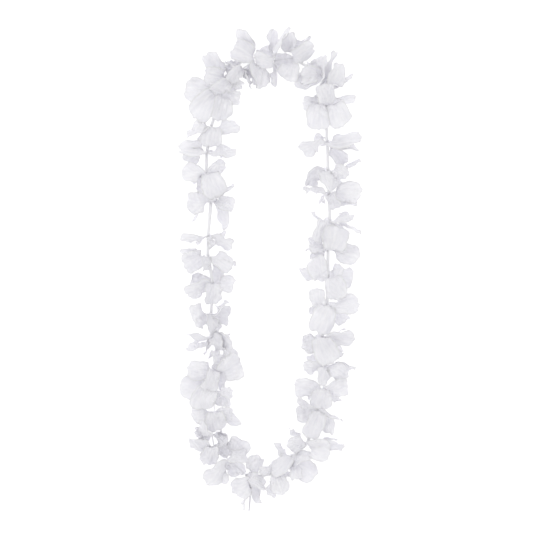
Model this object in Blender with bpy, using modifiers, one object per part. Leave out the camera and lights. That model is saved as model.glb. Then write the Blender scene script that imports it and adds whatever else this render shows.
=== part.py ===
"""A white cloth lei, laid flat: die-cut florets and plastic spacer tubes strung on one knotted thread.

The plan is measured in millimetres on a 540 mm square, x to the right and y down, as the lei is seen
from above. The model itself is in metres, +Z up, with the surface it lies on at z = 0.
"""

import math
from dataclasses import dataclass, replace

import bmesh
import bpy
import numpy as np
from mathutils import Matrix, Vector
from mathutils.bvhtree import BVHTree

MM = 0.001
PLAN_MIDDLE = (270.1, 269.4)
UP = np.array((0.0, 0.0, 1.0))
TINY = 1e-12

# The florets: five petals each, die-cut from one piece of cloth
PETAL_LENGTH = 34.0 * MM
PETAL_WIDTH = 22.0 * MM
SPREAD = 1.12
CLOTH = 0.6 * MM
HUB_HEIGHT = 17.0 * MM
HUB_SWAY = 1.2 * MM
HUB_SWAY_STEP = 2.1
HUB_RADIUS = 3.4 * MM
HUB_HOLE = 1.1 * MM
PETALS = 5
SLOT = 2 * math.pi / PETALS
TURNS_TRIED = 12
LEAVE_LIFT = 0.35

# How a petal is bent: where its way out and its way in end, the arch that its spare length may take,
# the share of its length that it is turned over, and its rounding, cupping and waving
EARLY = 0.34
LATE = 0.3
LATE_ARCH = 0.75
ARCH_LIMIT = 6.0 * MM
ARCH_STEPS = 8
MIDLINE_STEPS = 12
DROOPS_BELOW = -0.2
TURN_BY = 0.27
TIP_ROUNDING = 0.12
ROUNDING_FROM = 0.6
CUP_DEPTH = 1.6 * MM
CUP_LEVEL = 0.4
CUP_UNTIL = 0.9
WAVE_DEPTH = 1.1 * MM
WAVE_STEP = 1.7
WAVE_FULL_FROM = 0.5

# A petal's half width, as a share of its full half width, from its root to its tip
PROFILE_AT = (0.0, 0.25, 0.5, 0.75, 0.9, 1.0)
PROFILE = (0.2, 0.55, 0.92, 1.0, 0.97, 0.75)
ROWS_AT = (0.0, 0.2, 0.42, 0.65, 0.85, 1.0)
COLUMNS_AT = (-1.0, 0.0, 1.0)

# How the petals settle clear of each other: the lifts and swings of its middle that a petal may take,
# in millimetres, what each millimetre counts against one crossing, and the room left round the cloth
LIFTS = (0, 3, -3, 6, -6, 9, -9, 12, -12, 15, -15)
SWINGS = (0, 3, -3, 6, -6)
MILLIMETRE_COST = 0.12
TURNOVER_COST = 0.3
LOWEST_RISE = -16.0
HIGHEST_RISE = 20.0
SETTLE_ROUNDS = 4
ROOM = 0.6 * MM
CORNER_REACH = 1.2 * MM
RUN_RINGS = 11

# The spacer tubes and the thread
TUBE_RADIUS = 1.6 * MM
TUBE_BORE = 1.0 * MM
TUBE_SIDES = 8
TUBE_GAP = 0.4 * MM
THREAD_RADIUS = 0.4 * MM
THREAD_TURN = 1.2 * MM
KNOT_RADIUS = 1.5 * MM
KNOT_FROM_HUB = 5.0 * MM
TAIL_RADIUS = 0.7 * MM
TAIL_ROUTE = ((247.5, 481, 12), (249, 488, 7), (250, 496, 3.4), (249.6, 504, 1.4), (249, 512, 0.8))

WELD = 0.01 * MM

CLOTH_COLOUR = (0.84, 0.83, 0.88, 1.0)
TUBE_COLOUR = (0.86, 0.86, 0.87, 1.0)
THREAD_COLOUR = (0.88, 0.87, 0.86, 1.0)
CLOTH_ROUGHNESS = 0.85
TUBE_ROUGHNESS = 0.4
THREAD_ROUGHNESS = 0.8


@dataclass(frozen=True)
class Petal:
    """Where a petal's tip lies on the plan, how wide the petal is seen from above, how far its tip
    stands over the hub, and how far its middle swings to the left of the straight way out."""

    x: float
    y: float
    seen: float
    rise: float
    bow: float = 0.0


@dataclass(frozen=True)
class Floret:
    """One floret on the thread: its hub on the plan, its petals, and whether a tube follows it."""

    x: float
    y: float
    petals: tuple
    tube: bool = False


def P(*values):
    return Petal(*values)


# Round the loop from the knot at its foot: up the right side, over the top and down the left side
FLORETS = (
    Floret(250, 478, (P(258, 455, 19, 4), P(234, 493, 27, 5), P(266, 486, 15, 3),
                      P(260, 505, 9, -6), P(242, 507, 4, -10, -1))),
    Floret(275, 473, (P(259, 471, 14, 9), P(283, 494, 20, 2), P(269, 496, 13, -3),
                      P(284, 461, 12, -8), P(292, 474, 9, -8))),
    Floret(291, 458, (P(277, 442, 10, 2), P(271, 471, 15, 10, 1), P(296, 480, 15, 8),
                      P(315, 479, 20, -2), P(308, 451, 14, 1)), tube=True),
    Floret(307, 444, (P(291, 429, 5, 2), P(288, 447, 20, 4), P(331, 450, 21, 7, -2),
                      P(336, 438, 3, 2, -4), P(345, 446, 7, -4)), tube=True),
    Floret(318, 411, (P(297, 399, 10, 6), P(296, 417, 20, 0), P(308, 438, 17, 6),
                      P(330, 435, 11, -2, 2), P(341, 419, 2.5, -3, -2)), tube=True),
    Floret(323, 389, (P(294, 387, 19, 3), P(320, 409, 23, 9), P(349, 385, 19, 3),
                      P(339, 402, 10, -5), P(307, 397, 8, -8))),
    Floret(325, 367, (P(303, 367, 17, 6), P(309, 355, 12, -8), P(356, 369, 3, 0, 5),
                      P(348, 377, 20, 2), P(325, 385, 14, 8))),
    Floret(322, 338, (P(302, 347, 25, 3, 2), P(355, 338, 13, 4), P(344, 330, 3, -2),
                      P(332, 364, 22, 9), P(344, 354, 11, -6)), tube=True),
    Floret(327, 306, (P(317, 288, 19, 7, 2), P(360, 305, 17, 3, 2), P(317, 334, 22, 8),
                      P(346, 323, 16, -5), P(309, 310, 10, -3)), tube=True),
    Floret(328, 278, (P(302, 268, 10, -2), P(314, 257, 20, 5), P(339, 264, 17, 2),
                      P(354, 277, 18, -4), P(338, 300, 20, 6, 3)), tube=True),
    Floret(328, 250, (P(338, 226, 24, 12), P(308, 240, 15, 2), P(307, 251, 7, -5),
                      P(359, 258, 19, 4), P(310, 260, 8, -9)), tube=True),
    Floret(330, 221, (P(353, 215, 10, 5, 2), P(314, 213, 3.5, 3, 1), P(320, 243, 15, 6),
                      P(362, 233, 3.5, -1), P(344, 236, 12, -10)), tube=True),
    Floret(329, 195, (P(305, 192, 6, 0, -6), P(362, 194, 20, 5), P(320, 203, 9, -7),
                      P(336, 209, 15, 3), P(358, 205, 8, -5)), tube=True),
    Floret(328, 171, (P(309, 187, 15, 3, -3), P(345, 179, 19, 9), P(361, 160, 3, -1, -1),
                      P(335, 190, 15, 9), P(341, 186, 10, -12)), tube=True),
    Floret(327, 143, (P(300, 151, 13, 2, 1), P(319, 133, 14, -4), P(362, 136, 13, 3),
                      P(358, 147, 10, -4), P(346, 164, 12, -6)), tube=True),
    Floret(326, 104, (P(324, 84, 19, 9), P(302, 103, 19, 0), P(356, 97, 8, 0, 1),
                      P(318, 131, 21, 7), P(343, 127, 22, 5))),
    Floret(327, 86, (P(336, 50, 5, 2, 4), P(341, 63, 16, 3), P(353, 76, 4, -1),
                     P(339, 87, 9, -5), P(318, 100, 14, -9))),
    Floret(320, 74, (P(301, 75, 20, 2), P(294, 82, 12, -9), P(323, 55, 16, 2),
                     P(305, 86, 10, -8), P(309, 61, 12, -5)), tube=True),
    Floret(293, 58, (P(286, 35, 17, 4), P(285, 80, 27, 2), P(310, 37, 6, 4),
                     P(314, 48, 16, 0), P(274, 61, 20, -7))),
    Floret(273, 61, (P(273, 28, 9, 0), P(290, 27, 3.5, 3, 2), P(273, 86, 7, -4),
                     P(254, 57, 15, 10), P(260, 47, 14, -8))),
    Floret(254, 61, (P(240, 28, 11, 8), P(232, 47, 21, 3), P(256, 87, 9, -3),
                     P(266, 87, 15, 2), P(245, 75, 14, -6))),
    Floret(242, 69, (P(228, 82, 12, 6), P(250, 88, 3, 2), P(227, 61, 8, 0),
                     P(251, 79, 16, -5), P(240, 47, 12, -8))),
    Floret(228, 80, (P(206, 53, 16, 5), P(204, 76, 19, 4), P(231, 62, 11, -3),
                     P(211, 92, 14, 8), P(243, 87, 18, -2))),
    Floret(221, 96, (P(184, 88, 23, 2), P(194, 119, 23, 6), P(221, 121, 19, 4),
                     P(241, 98, 21, 3), P(238, 80, 12, -8)), tube=True),
    Floret(211, 127, (P(210, 148, 22, 9), P(187, 133, 13, -2), P(198, 139, 9, -7),
                      P(200, 123, 9, -4), P(240, 127, 15, 2, 1))),
    Floret(207, 152, (P(178, 149, 15, 2), P(186, 162, 16, -6), P(235, 150, 12, 2, 1),
                      P(226, 156, 6, -8), P(190, 147, 8, -9)), tube=True),
    Floret(206, 174, (P(182, 170, 21, 2), P(226, 166, 18, 3, 3), P(217, 198, 22, 12, 4),
                      P(198, 191, 12, -6), P(192, 182, 10, -10)), tube=True),
    Floret(211, 202, (P(187, 204, 25, 2), P(235, 206, 19, 3), P(234, 184, 2.5, 0, 2),
                      P(194, 221, 3, -4, -2), P(224, 231, 9, -4, 5)), tube=True),
    Floret(208, 237, (P(182, 239, 8, 2, 2), P(196, 242, 9, -6), P(233, 246, 13, -1, -2),
                      P(213, 247, 12, 3), P(226, 235, 7, -8)), tube=True),
    Floret(208, 257, (P(182, 249, 8, 0), P(183, 266, 23, 5), P(236, 263, 5, 0, -3),
                      P(232, 268, 18, 5), P(205, 271, 11, 9)), tube=True),
    Floret(213, 284, (P(190, 282, 22, 0), P(187, 296, 14, 5), P(235, 284, 23, 4),
                      P(212, 305, 17, 8), P(220, 265, 14, -6)), tube=True),
    Floret(211, 314, (P(192, 319, 32, 14), P(230, 316, 25, 4), P(227, 301, 5, 6, 1),
                      P(215, 332, 11, 2), P(219, 334, 12, -9))),
    Floret(211, 338, (P(188, 336, 7, 2, 6), P(187, 345, 8, -3, 6), P(230, 336, 11, 2),
                      P(204, 353, 2.5, -5), P(225, 350, 11, 4))),
    Floret(219, 350, (P(209, 357, 4, -4), P(219, 364, 14, 6), P(214, 333, 12, 9),
                      P(238, 359, 14, -7), P(227, 348, 8, -9))),
    Floret(217, 371, (P(187, 371, 20, 4), P(242, 363, 27, 2), P(207, 391, 16, 10),
                      P(222, 389, 11, -6), P(226, 353, 11, -7))),
    Floret(215, 391, (P(179, 386, 21, -2), P(201, 410, 22, 6), P(233, 394, 17, 6),
                      P(225, 408, 16, -4), P(200, 376, 10, -8))),
    Floret(214, 412, (P(191, 415, 23, 0), P(233, 415, 20, 4), P(242, 424, 8, -4, -3),
                      P(218, 431, 22, 11), P(197, 426, 16, -7))),
    Floret(212, 435, (P(195, 431, 18, 3), P(227, 434, 11, -3), P(200, 421, 12, 6),
                      P(226, 443, 15, 2), P(194, 448, 9, -8))),
    Floret(214, 446, (P(188, 441, 13, 2, -1), P(206, 465, 19, 1), P(232, 455, 18, -5),
                      P(200, 457, 10, -8), P(226, 438, 16, 6))),
    Floret(228, 459, (P(244, 440, 25, 8), P(205, 484, 15, 5, 2), P(220, 485, 15, -4),
                      P(241, 476, 17, -7), P(248, 457, 16, 1))),
)


def plan_point(x, y, z=0.0):
    """A point of the plan, in metres from the middle of the lei, z metres over the surface."""
    return np.array(((x - PLAN_MIDDLE[0]) * MM, (PLAN_MIDDLE[1] - y) * MM, z))


def unit(vectors):
    """The vectors at length 1, along the last axis."""
    return vectors / (np.linalg.norm(vectors, axis=-1, keepdims=True) + TINY)


def smooth(t):
    t = np.clip(t, 0.0, 1.0)
    return t * t * (3 - 2 * t)


# Each hub's centre on the thread, which sways a little up and down round the loop
HUBS = [
    plan_point(f.x, f.y, HUB_HEIGHT + HUB_SWAY * math.sin(HUB_SWAY_STEP * i))
    for i, f in enumerate(FLORETS)
]


def run(i):
    """The way the thread runs from hub i to the next one, as a unit vector, and how far."""
    step = HUBS[(i + 1) % len(HUBS)] - HUBS[i % len(HUBS)]
    return unit(step), float(np.linalg.norm(step))


def cord_at(i):
    """The way the thread runs through hub i."""
    return unit(run(i - 1)[0] + run(i)[0])


def around(cord, angles):
    """Unit vectors square to the thread at these angles, from level on its right side upwards."""
    level = unit(np.cross(cord, UP))
    upward = np.cross(level, cord)
    return np.outer(np.cos(angles), level) + np.outer(np.sin(angles), upward)


def leaving_ways(i):
    """The way each petal leaves hub i. The five leave evenly round the thread, as they are cut,
    turned so that each starts as near as it can to the side that its tip lies on."""
    hub, cord, petals = HUBS[i], cord_at(i), FLORETS[i].petals
    level, upward = around(cord, (0.0, math.pi / 2))
    wanted = []
    for petal in petals:
        out = plan_point(petal.x, petal.y, hub[2] + petal.rise * MM) - hub
        lift = out @ upward + math.copysign(LEAVE_LIFT, petal.rise) * abs(out @ cord)
        wanted.append(math.atan2(lift, out @ level))
    order = np.argsort(wanted, kind="stable")
    best_miss, best = None, None
    for turn in range(TURNS_TRIED * PETALS):
        angles = np.empty(PETALS)
        angles[order] = SLOT * (turn / TURNS_TRIED + np.arange(PETALS))
        miss = np.sum(1 - np.cos(angles - wanted))
        if best is None or miss < best_miss - TINY:
            best_miss, best = miss, angles
    return around(cord, best)


def bezier_weights(t):
    """The weights of a Bezier's four points at t, and those of the way that it runs there."""
    t = np.asarray(t)[:, None]
    s = 1 - t
    point = np.hstack([s**3, 3 * s * s * t, 3 * s * t * t, t**3])
    way = np.hstack([-s * s, s * s - 2 * s * t, 2 * s * t - t * t, t * t])
    return point, way


STEP_WEIGHTS = bezier_weights(np.linspace(0, 1, MIDLINE_STEPS + 1))[0]


def midline_length(ends):
    """How long the midline with these Bezier points is."""
    steps = np.diff(STEP_WEIGHTS @ ends, axis=0)
    return np.linalg.norm(steps, axis=1).sum()


def petal_midline(hub, leave, petal, swell):
    """The four Bezier points of a petal's midline.

    A petal leaves square to the thread and then bends over to its tip. What the tip's reach leaves
    over of its length goes into an arch the way of swell, as far as the crumpled cloth lets it.
    """
    tip = plan_point(petal.x, petal.y, max(hub[2] + petal.rise * MM, CLOTH))
    root = hub + leave * HUB_RADIUS
    out = tip - root
    reach = np.linalg.norm(out)
    length = PETAL_LENGTH - HUB_RADIUS
    side = unit(np.cross(UP, out)) * petal.bow * MM
    early = root + leave * EARLY * min(reach, length) + side
    late = tip - out * LATE + side

    def ends(arch):
        return np.array([root, early + swell * arch, late + swell * LATE_ARCH * arch, tip])

    low, high = 0.0, ARCH_LIMIT
    for _ in range(ARCH_STEPS):
        arch = (low + high) / 2
        if midline_length(ends(arch)) < length:
            low = arch
        else:
            high = arch
    return ends(low)


def petal_points(i, k, petal, turned_over):
    """The petal's middle surface as a grid of points, row by row from its root on the hub's rim."""
    hub, cord, leave = HUBS[i], CORDS[i], WAYS[i][k]
    swell = UP if (leave[2] > DROOPS_BELOW) != turned_over else -UP
    ends = petal_midline(hub, leave, petal, swell)
    u = np.repeat(ROWS_AT, len(COLUMNS_AT))
    v = np.tile(COLUMNS_AT, len(ROWS_AT))
    along = u - TIP_ROUNDING * v * v * smooth((u - ROUNDING_FROM) / (1 - ROUNDING_FROM))
    weights, way_weights = bezier_weights(along)
    way = unit(way_weights @ ends)
    level = unit(np.cross(UP, ends[3] - ends[0]))
    seen = abs(petal.seen) * SPREAD * MM
    width = max(PETAL_WIDTH, seen)
    roll = math.copysign(math.acos(seen / width), petal.seen)
    turned = level * math.cos(roll) + unit(np.cross(level, way)) * math.sin(roll)
    tangent = np.cross(cord, leave)
    share = smooth(along / TURN_BY)[:, None]
    if np.sum(turned[share[:, 0] < 1] @ tangent) < 0:
        turned = -turned
    across = tangent * (1 - share) + turned * share
    across = unit(across - way * np.sum(across * way, axis=1, keepdims=True))
    face = np.cross(across, way)
    kept = min(midline_length(ends) / (PETAL_LENGTH - HUB_RADIUS), 1.0)
    half = 0.5 * width * kept * np.interp(u, PROFILE_AT, PROFILE)
    cup = CUP_DEPTH * (v * v - CUP_LEVEL) * np.sin(math.pi * np.minimum(along, CUP_UNTIL))
    wave = WAVE_DEPTH * v * np.sin(2 * math.pi * along + WAVE_STEP * (PETALS * i + k))
    wave *= smooth(along / WAVE_FULL_FROM)
    points = weights @ ends + across * (half * v)[:, None] + face * (cup + wave)[:, None]
    points[:, 2] = np.maximum(points[:, 2], CLOTH / 2)
    rim = np.array(COLUMNS_AT) * SLOT / 2
    points[u == 0] = hub + HUB_RADIUS * (np.outer(np.cos(rim), leave) + np.outer(np.sin(rim), tangent))
    return points


def grid_triangles(rows, columns):
    """The triangles of a grid of points that is counted row by row."""
    corners = np.arange(rows * columns).reshape(rows, columns)[:-1, :-1].reshape(-1, 1)
    first = corners + (0, 1, columns + 1)
    second = corners + (0, columns + 1, columns)
    return np.vstack([first, second])


def blade_triangles(rows, columns):
    """The triangles of a grid's two faces, and those of its edge but for the root's."""
    faces = grid_triangles(rows, columns)
    grid = np.arange(rows * columns).reshape(rows, columns)
    rim = np.concatenate([grid[:-1, 0], grid[-1, :-1], grid[::-1, -1]])
    start, end, count = rim[:-1], rim[1:], rows * columns
    first = np.stack([start, end, end + count], axis=1)
    second = np.stack([start, end + count, start + count], axis=1)
    return np.vstack([faces, faces[:, ::-1] + count, first, second])


class Solid:
    """A piece's triangles, kept for finding where it crosses others."""

    def __init__(self, points, faces):
        self.tree = BVHTree.FromPolygons(points.tolist(), faces.tolist())
        self.corners = points[faces]
        self.low = points.min(axis=0)
        self.high = points.max(axis=0)

    def crossings(self, other):
        """The pairs of triangles of this piece and the other that cross."""
        return np.array(self.tree.overlap(other.tree), dtype=int).reshape(-1, 2)

    def touching(self, triangles, point):
        """Which of these triangles have a corner at the point, but for the cloth's thickness."""
        off = np.linalg.norm(self.corners[triangles] - point, axis=2)
        return (off < CORNER_REACH).any(axis=1)


def blade_solid(i, points):
    """A petal of floret i as a closed piece, the cloth's thickness and the room round it."""
    faces = BLADE[:2 * (len(ROWS_AT) - 1) * (len(COLUMNS_AT) - 1)]
    corners = points[faces]
    facing = unit(np.cross(corners[:, 1] - corners[:, 0], corners[:, 2] - corners[:, 0]))
    normals = np.zeros_like(points)
    for corner in range(3):
        onward = unit(corners[:, (corner + 1) % 3] - corners[:, corner])
        back = unit(corners[:, corner - 1] - corners[:, corner])
        angle = np.arccos(np.clip(np.sum(onward * back, axis=1), -1, 1))
        np.add.at(normals, faces[:, corner], facing * angle[:, None])
    normals[:len(COLUMNS_AT)] -= CORDS[i] * math.pi
    normals = unit(normals) * (CLOTH + ROOM) / 2
    return Solid(np.vstack([points + normals, points - normals]), BLADE)


def run_solid(i):
    """The tube between hub i and the next, or the bare thread there, with the room round it."""
    way, far = run(i)
    radius = ROOM / 2 + (TUBE_RADIUS if FLORETS[i].tube else THREAD_RADIUS)
    ring = around(way, np.arange(TUBE_SIDES) * 2 * math.pi / TUBE_SIDES) * radius
    return rings_solid([HUBS[i] + way * far * step + ring for step in np.linspace(0, 1, RUN_RINGS)])


def hub_solid(i):
    """The hub of floret i, with the room round it."""
    tangent = np.cross(CORDS[i], WAYS[i][0])
    turns = np.arange(2 * PETALS) * SLOT / 2
    ring = np.outer(np.cos(turns), WAYS[i][0]) + np.outer(np.sin(turns), tangent)
    off = CORDS[i] * (CLOTH + ROOM) / 2
    inner, outer = ring * HUB_HOLE, ring * HUB_RADIUS
    return rings_solid([HUBS[i] + part for part in (inner - off, outer - off, outer + off, inner + off)])


def tail_route():
    """The points that the thread's tail runs through, from the knot on."""
    knot = HUBS[0] - run(-1)[0] * KNOT_FROM_HUB
    return np.array([knot] + [plan_point(x, y, z * MM) for x, y, z in TAIL_ROUTE])


def tail_solid():
    """The knot and the tail, with the room round them."""
    route = tail_route()
    ways = unit(np.diff(route, axis=0))
    angles = np.arange(TUBE_SIDES) * 2 * math.pi / TUBE_SIDES
    knot = around(ways[0], angles) * (KNOT_RADIUS + ROOM / 2)
    rings = [route[0] - ways[0] * KNOT_RADIUS + knot, route[0] + knot]
    for start, end, way in zip(route, route[1:], ways):
        ring = around(way, angles) * (TAIL_RADIUS + ROOM / 2)
        rings += [start + ring, end + ring]
    return rings_solid(rings)


def rings_solid(rings):
    """The surface that joins rings of points one after another."""
    sides = len(rings[0])
    faces = []
    for base in range(0, sides * (len(rings) - 1), sides):
        for side in range(sides):
            a, b = base + side, base + (side + 1) % sides
            faces += [(a, b, b + sides), (a, b + sides, a + sides)]
    return Solid(np.vstack(rings), np.array(faces))


class Settling:
    """The petals of the whole lei, bent one after another until they lie clear of each other."""

    def __init__(self):
        self.wanted = {(i, k): p for i, f in enumerate(FLORETS) for k, p in enumerate(f.petals)}
        self.bent = {key: (petal, False) for key, petal in self.wanted.items()}
        self.keys = list(self.bent)
        self.solids = [blade_solid(key[0], petal_points(*key, *bend)) for key, bend in self.bent.items()]
        for i in range(len(FLORETS)):
            self.keys += [(i, "run"), (i, "hub")]
            self.solids += [run_solid(i), hub_solid(i)]
        self.keys.append((0, "run"))
        self.solids.append(tail_solid())
        self.low = np.array([solid.low for solid in self.solids])
        self.high = np.array([solid.high for solid in self.solids])

    def crossings(self, at, solid):
        """How many pairs of triangles cross when this solid stands in place of petal number at, its
        own included where it folds through itself.
        The cloth that a petal shares with its own hub and with the petals next to it isn't counted."""
        i, k = self.keys[at]
        folds = solid.crossings(solid)
        total = np.count_nonzero(~JOINED[folds[:, 0], folds[:, 1]]) // 2
        near = np.all(solid.low <= self.high, axis=1) & np.all(solid.high >= self.low, axis=1)
        for number in np.nonzero(near)[0]:
            if number == at:
                continue
            other = self.solids[number]
            pairs = solid.crossings(other)
            j, kind = self.keys[number]
            if i == j and kind != "run":
                way, beside = WAYS[i][k], np.cross(CORDS[i], WAYS[i][k]) * math.tan(SLOT / 2)
                joints = (way, way + beside, way - beside) if kind == "hub" else (way + WAYS[i][kind],)
                for point in [HUBS[i] + unit(joint) * HUB_RADIUS for joint in joints]:
                    shared = solid.touching(pairs[:, 0], point) & other.touching(pairs[:, 1], point)
                    pairs = pairs[~shared]
            total += len(pairs)
        return total

    def improve(self, at):
        """Bends one petal the way that crosses least. Says whether it changed."""
        key = self.keys[at]
        now = self.crossings(at, self.solids[at])
        if not now:
            return False
        best = None
        wanted = self.wanted[key]
        for cost, lift, swing, sign, over in BENDS:
            if best and cost >= best[0]:
                break
            rise = min(max(wanted.rise + lift, LOWEST_RISE), HIGHEST_RISE)
            petal = replace(wanted, rise=rise, bow=wanted.bow + swing, seen=wanted.seen * sign)
            solid = blade_solid(key[0], petal_points(*key, petal, over))
            count = self.crossings(at, solid)
            if best is None or count + cost < best[0]:
                best = count + cost, count, (petal, over), solid
        if best[1] >= now:
            return False
        self.bent[key] = best[2]
        self.solids[at] = best[3]
        self.low[at], self.high[at] = best[3].low, best[3].high
        return True

    def run(self):
        for _ in range(SETTLE_ROUNDS):
            if not sum([self.improve(at) for at in range(len(self.bent))]):
                break
        return self.bent


# A petal's triangles, and which of them share a corner
BLADE = blade_triangles(len(ROWS_AT), len(COLUMNS_AT))
JOINED = (BLADE[:, None, :, None] == BLADE[None, :, None, :]).any(axis=(2, 3))

# The bends that a petal may take instead of the one wanted, the least change first
BENDS = sorted(
    (MILLIMETRE_COST * (abs(lift) + abs(swing)) + TURNOVER_COST * over, lift, swing, sign, over)
    for over in (False, True)
    for sign in (1, -1)
    for lift in LIFTS
    for swing in SWINGS
)
CORDS = [cord_at(i) for i in range(len(HUBS))]
WAYS = [leaving_ways(i) for i in range(len(HUBS))]


def material(name, colour, roughness):
    made = bpy.data.materials.new(name)
    made.use_nodes = True
    shader = made.node_tree.nodes["Principled BSDF"]
    shader.inputs["Base Color"].default_value = colour
    shader.inputs["Roughness"].default_value = roughness
    shader.inputs["Metallic"].default_value = 0.0
    made.diffuse_color = colour
    return made


def add_object(name, bm, collection):
    mesh = bpy.data.meshes.new(name)
    bm.to_mesh(mesh)
    bm.free()
    obj = bpy.data.objects.new(name, mesh)
    collection.objects.link(obj)
    return obj


def evaluated_mesh(obj):
    """The object's mesh with its modifiers, as a mesh of its own."""
    graph = bpy.context.evaluated_depsgraph_get()
    graph.update()
    return bpy.data.meshes.new_from_object(obj.evaluated_get(graph))


def axes(x, y, z, origin):
    """The matrix that lays an object's own axes along these, at the origin given."""
    turn = Matrix((Vector(x), Vector(y), Vector(z))).transposed().to_4x4()
    return Matrix.Translation(Vector(origin)) @ turn


def bend_petal(bm, points):
    """Adds one petal: a grid bent to these points, its root row on the hub's rim."""
    rows, columns = len(ROWS_AT) - 1, len(COLUMNS_AT) - 1
    grid = bmesh.ops.create_grid(bm, x_segments=rows, y_segments=columns, size=1)
    for vert in grid["verts"]:
        row = round((vert.co.x + 1) / 2 * rows)
        column = round((vert.co.y + 1) / 2 * columns)
        vert.co = points[row * (columns + 1) + column]


def add_floret(name, i, bent, cloth, collection):
    """A floret: a flat hub with a hole for the thread, and five petals bent out of the same cloth."""
    bm = bmesh.new()
    ring = bmesh.ops.create_cone(
        bm, cap_ends=False, segments=2 * PETALS, radius1=HUB_RADIUS, radius2=HUB_HOLE, depth=0
    )
    first = WAYS[i][0]
    turn = axes(np.cross(first, CORDS[i]), first, CORDS[i], HUBS[i])
    bmesh.ops.transform(bm, matrix=turn, verts=ring["verts"])
    for k in range(PETALS):
        bend_petal(bm, petal_points(i, k, *bent[(i, k)]))
    bmesh.ops.triangulate(bm, faces=bm.faces, quad_method="FIXED")
    bmesh.ops.remove_doubles(bm, verts=bm.verts, dist=WELD)
    bmesh.ops.recalc_face_normals(bm, faces=bm.faces)
    obj = add_object(name, bm, collection)
    solid = obj.modifiers.new("cloth", "SOLIDIFY")
    solid.thickness = CLOTH
    solid.offset = 0.0
    obj.data.materials.append(cloth)
    return obj


def tube_end(i, way):
    """How far a tube that leaves hub i by this way stays from the hub's centre."""
    tilt = math.acos(min(abs(way @ CORDS[i % len(HUBS)]), 1.0))
    return CLOTH / 2 + TUBE_GAP + TUBE_RADIUS * math.tan(tilt)


def add_tube(name, i, plastic, collection):
    """The spacer tube between hub i and the next one."""
    way, far = run(i)
    near = tube_end(i, way)
    length = far - near - tube_end(i + 1, way)
    bm = bmesh.new()
    bmesh.ops.create_cone(
        bm, cap_ends=False, segments=TUBE_SIDES, radius1=TUBE_RADIUS, radius2=TUBE_RADIUS, depth=length
    )
    level, upward = around(way, (0.0, math.pi / 2))
    bm.transform(axes(level, upward, np.cross(level, upward), HUBS[i] + way * (near + length / 2)))
    tube = add_object(name, bm, collection)
    wall = tube.modifiers.new("wall", "SOLIDIFY")
    wall.thickness = TUBE_RADIUS - TUBE_BORE
    wall.offset = -1.0
    tube.data.materials.append(plastic)
    return tube


def curve_mesh(name, points, radius, cyclic, collection):
    """A round thread along the points, as a closed mesh object."""
    curve = bpy.data.curves.new(name, "CURVE")
    curve.dimensions = "3D"
    curve.bevel_depth = radius
    curve.bevel_resolution = 1
    curve.use_fill_caps = not cyclic
    spline = curve.splines.new("POLY")
    spline.points.add(len(points) - 1)
    for target, point in zip(spline.points, points):
        target.co = (*point, 1.0)
    spline.use_cyclic_u = cyclic
    wire = bpy.data.objects.new(name + "_route", curve)
    bpy.context.scene.collection.objects.link(wire)
    mesh = evaluated_mesh(wire)
    bm = bmesh.new()
    bm.from_mesh(mesh)
    bmesh.ops.remove_doubles(bm, verts=bm.verts, dist=WELD)
    bmesh.ops.recalc_face_normals(bm, faces=bm.faces)
    bpy.data.objects.remove(wire)
    bpy.data.meshes.remove(mesh)
    return add_object(name, bm, collection)


def thread_points():
    """The thread's loop: straight through each tube, and turned within each hub's hole."""
    points = []
    for i, hub in enumerate(HUBS):
        points += [hub - run(i - 1)[0] * THREAD_TURN, hub + run(i)[0] * THREAD_TURN]
    return points


def add_thread(spun, collection):
    """The thread: its loop, the knot that closes it beside the first hub, and the tail below it."""
    loop = curve_mesh("thread", thread_points(), THREAD_RADIUS, True, collection)
    pieces = bpy.data.collections.new("thread_pieces")
    bpy.context.scene.collection.children.link(pieces)
    route = tail_route()
    bm = bmesh.new()
    bmesh.ops.create_icosphere(bm, subdivisions=1, radius=KNOT_RADIUS)
    bm.transform(Matrix.Translation(Vector(route[0])))
    add_object("knot", bm, pieces)
    curve_mesh("tail", route, TAIL_RADIUS, False, pieces)
    union = loop.modifiers.new("join", "BOOLEAN")
    union.operation = "UNION"
    union.operand_type = "COLLECTION"
    union.collection = pieces
    union.solver = "EXACT"
    fused = evaluated_mesh(loop)
    loop.modifiers.clear()
    loop.data = fused
    for obj in list(pieces.objects):
        bpy.data.objects.remove(obj)
    bpy.data.collections.remove(pieces)
    loop.data.materials.clear()
    loop.data.materials.append(spun)
    return loop


def main():
    for obj in list(bpy.data.objects):
        bpy.data.objects.remove(obj)
    lei = bpy.data.collections.new("lei")
    bpy.context.scene.collection.children.link(lei)
    cloth = material("white_cloth", CLOTH_COLOUR, CLOTH_ROUGHNESS)
    plastic = material("white_tube", TUBE_COLOUR, TUBE_ROUGHNESS)
    spun = material("white_thread", THREAD_COLOUR, THREAD_ROUGHNESS)
    bent = Settling().run()
    for i, floret in enumerate(FLORETS):
        add_floret(f"floret_{i + 1:02d}", i, bent, cloth, lei)
        if floret.tube:
            add_tube(f"tube_{i + 1:02d}", i, plastic, lei)
    add_thread(spun, lei)


if __name__ == "__main__":
    main()
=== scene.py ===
"""The looks of a white cloth lei laid flat: its florets, spacer tubes, thread, floor, light and camera.

The plan is measured in millimetres on a 540 mm square, x to the right and y down, as the lei is seen
from above. Everything built is in metres, +Z up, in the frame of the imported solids.
"""

import logging
import math
from dataclasses import dataclass, field, replace
from enum import Enum

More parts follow.
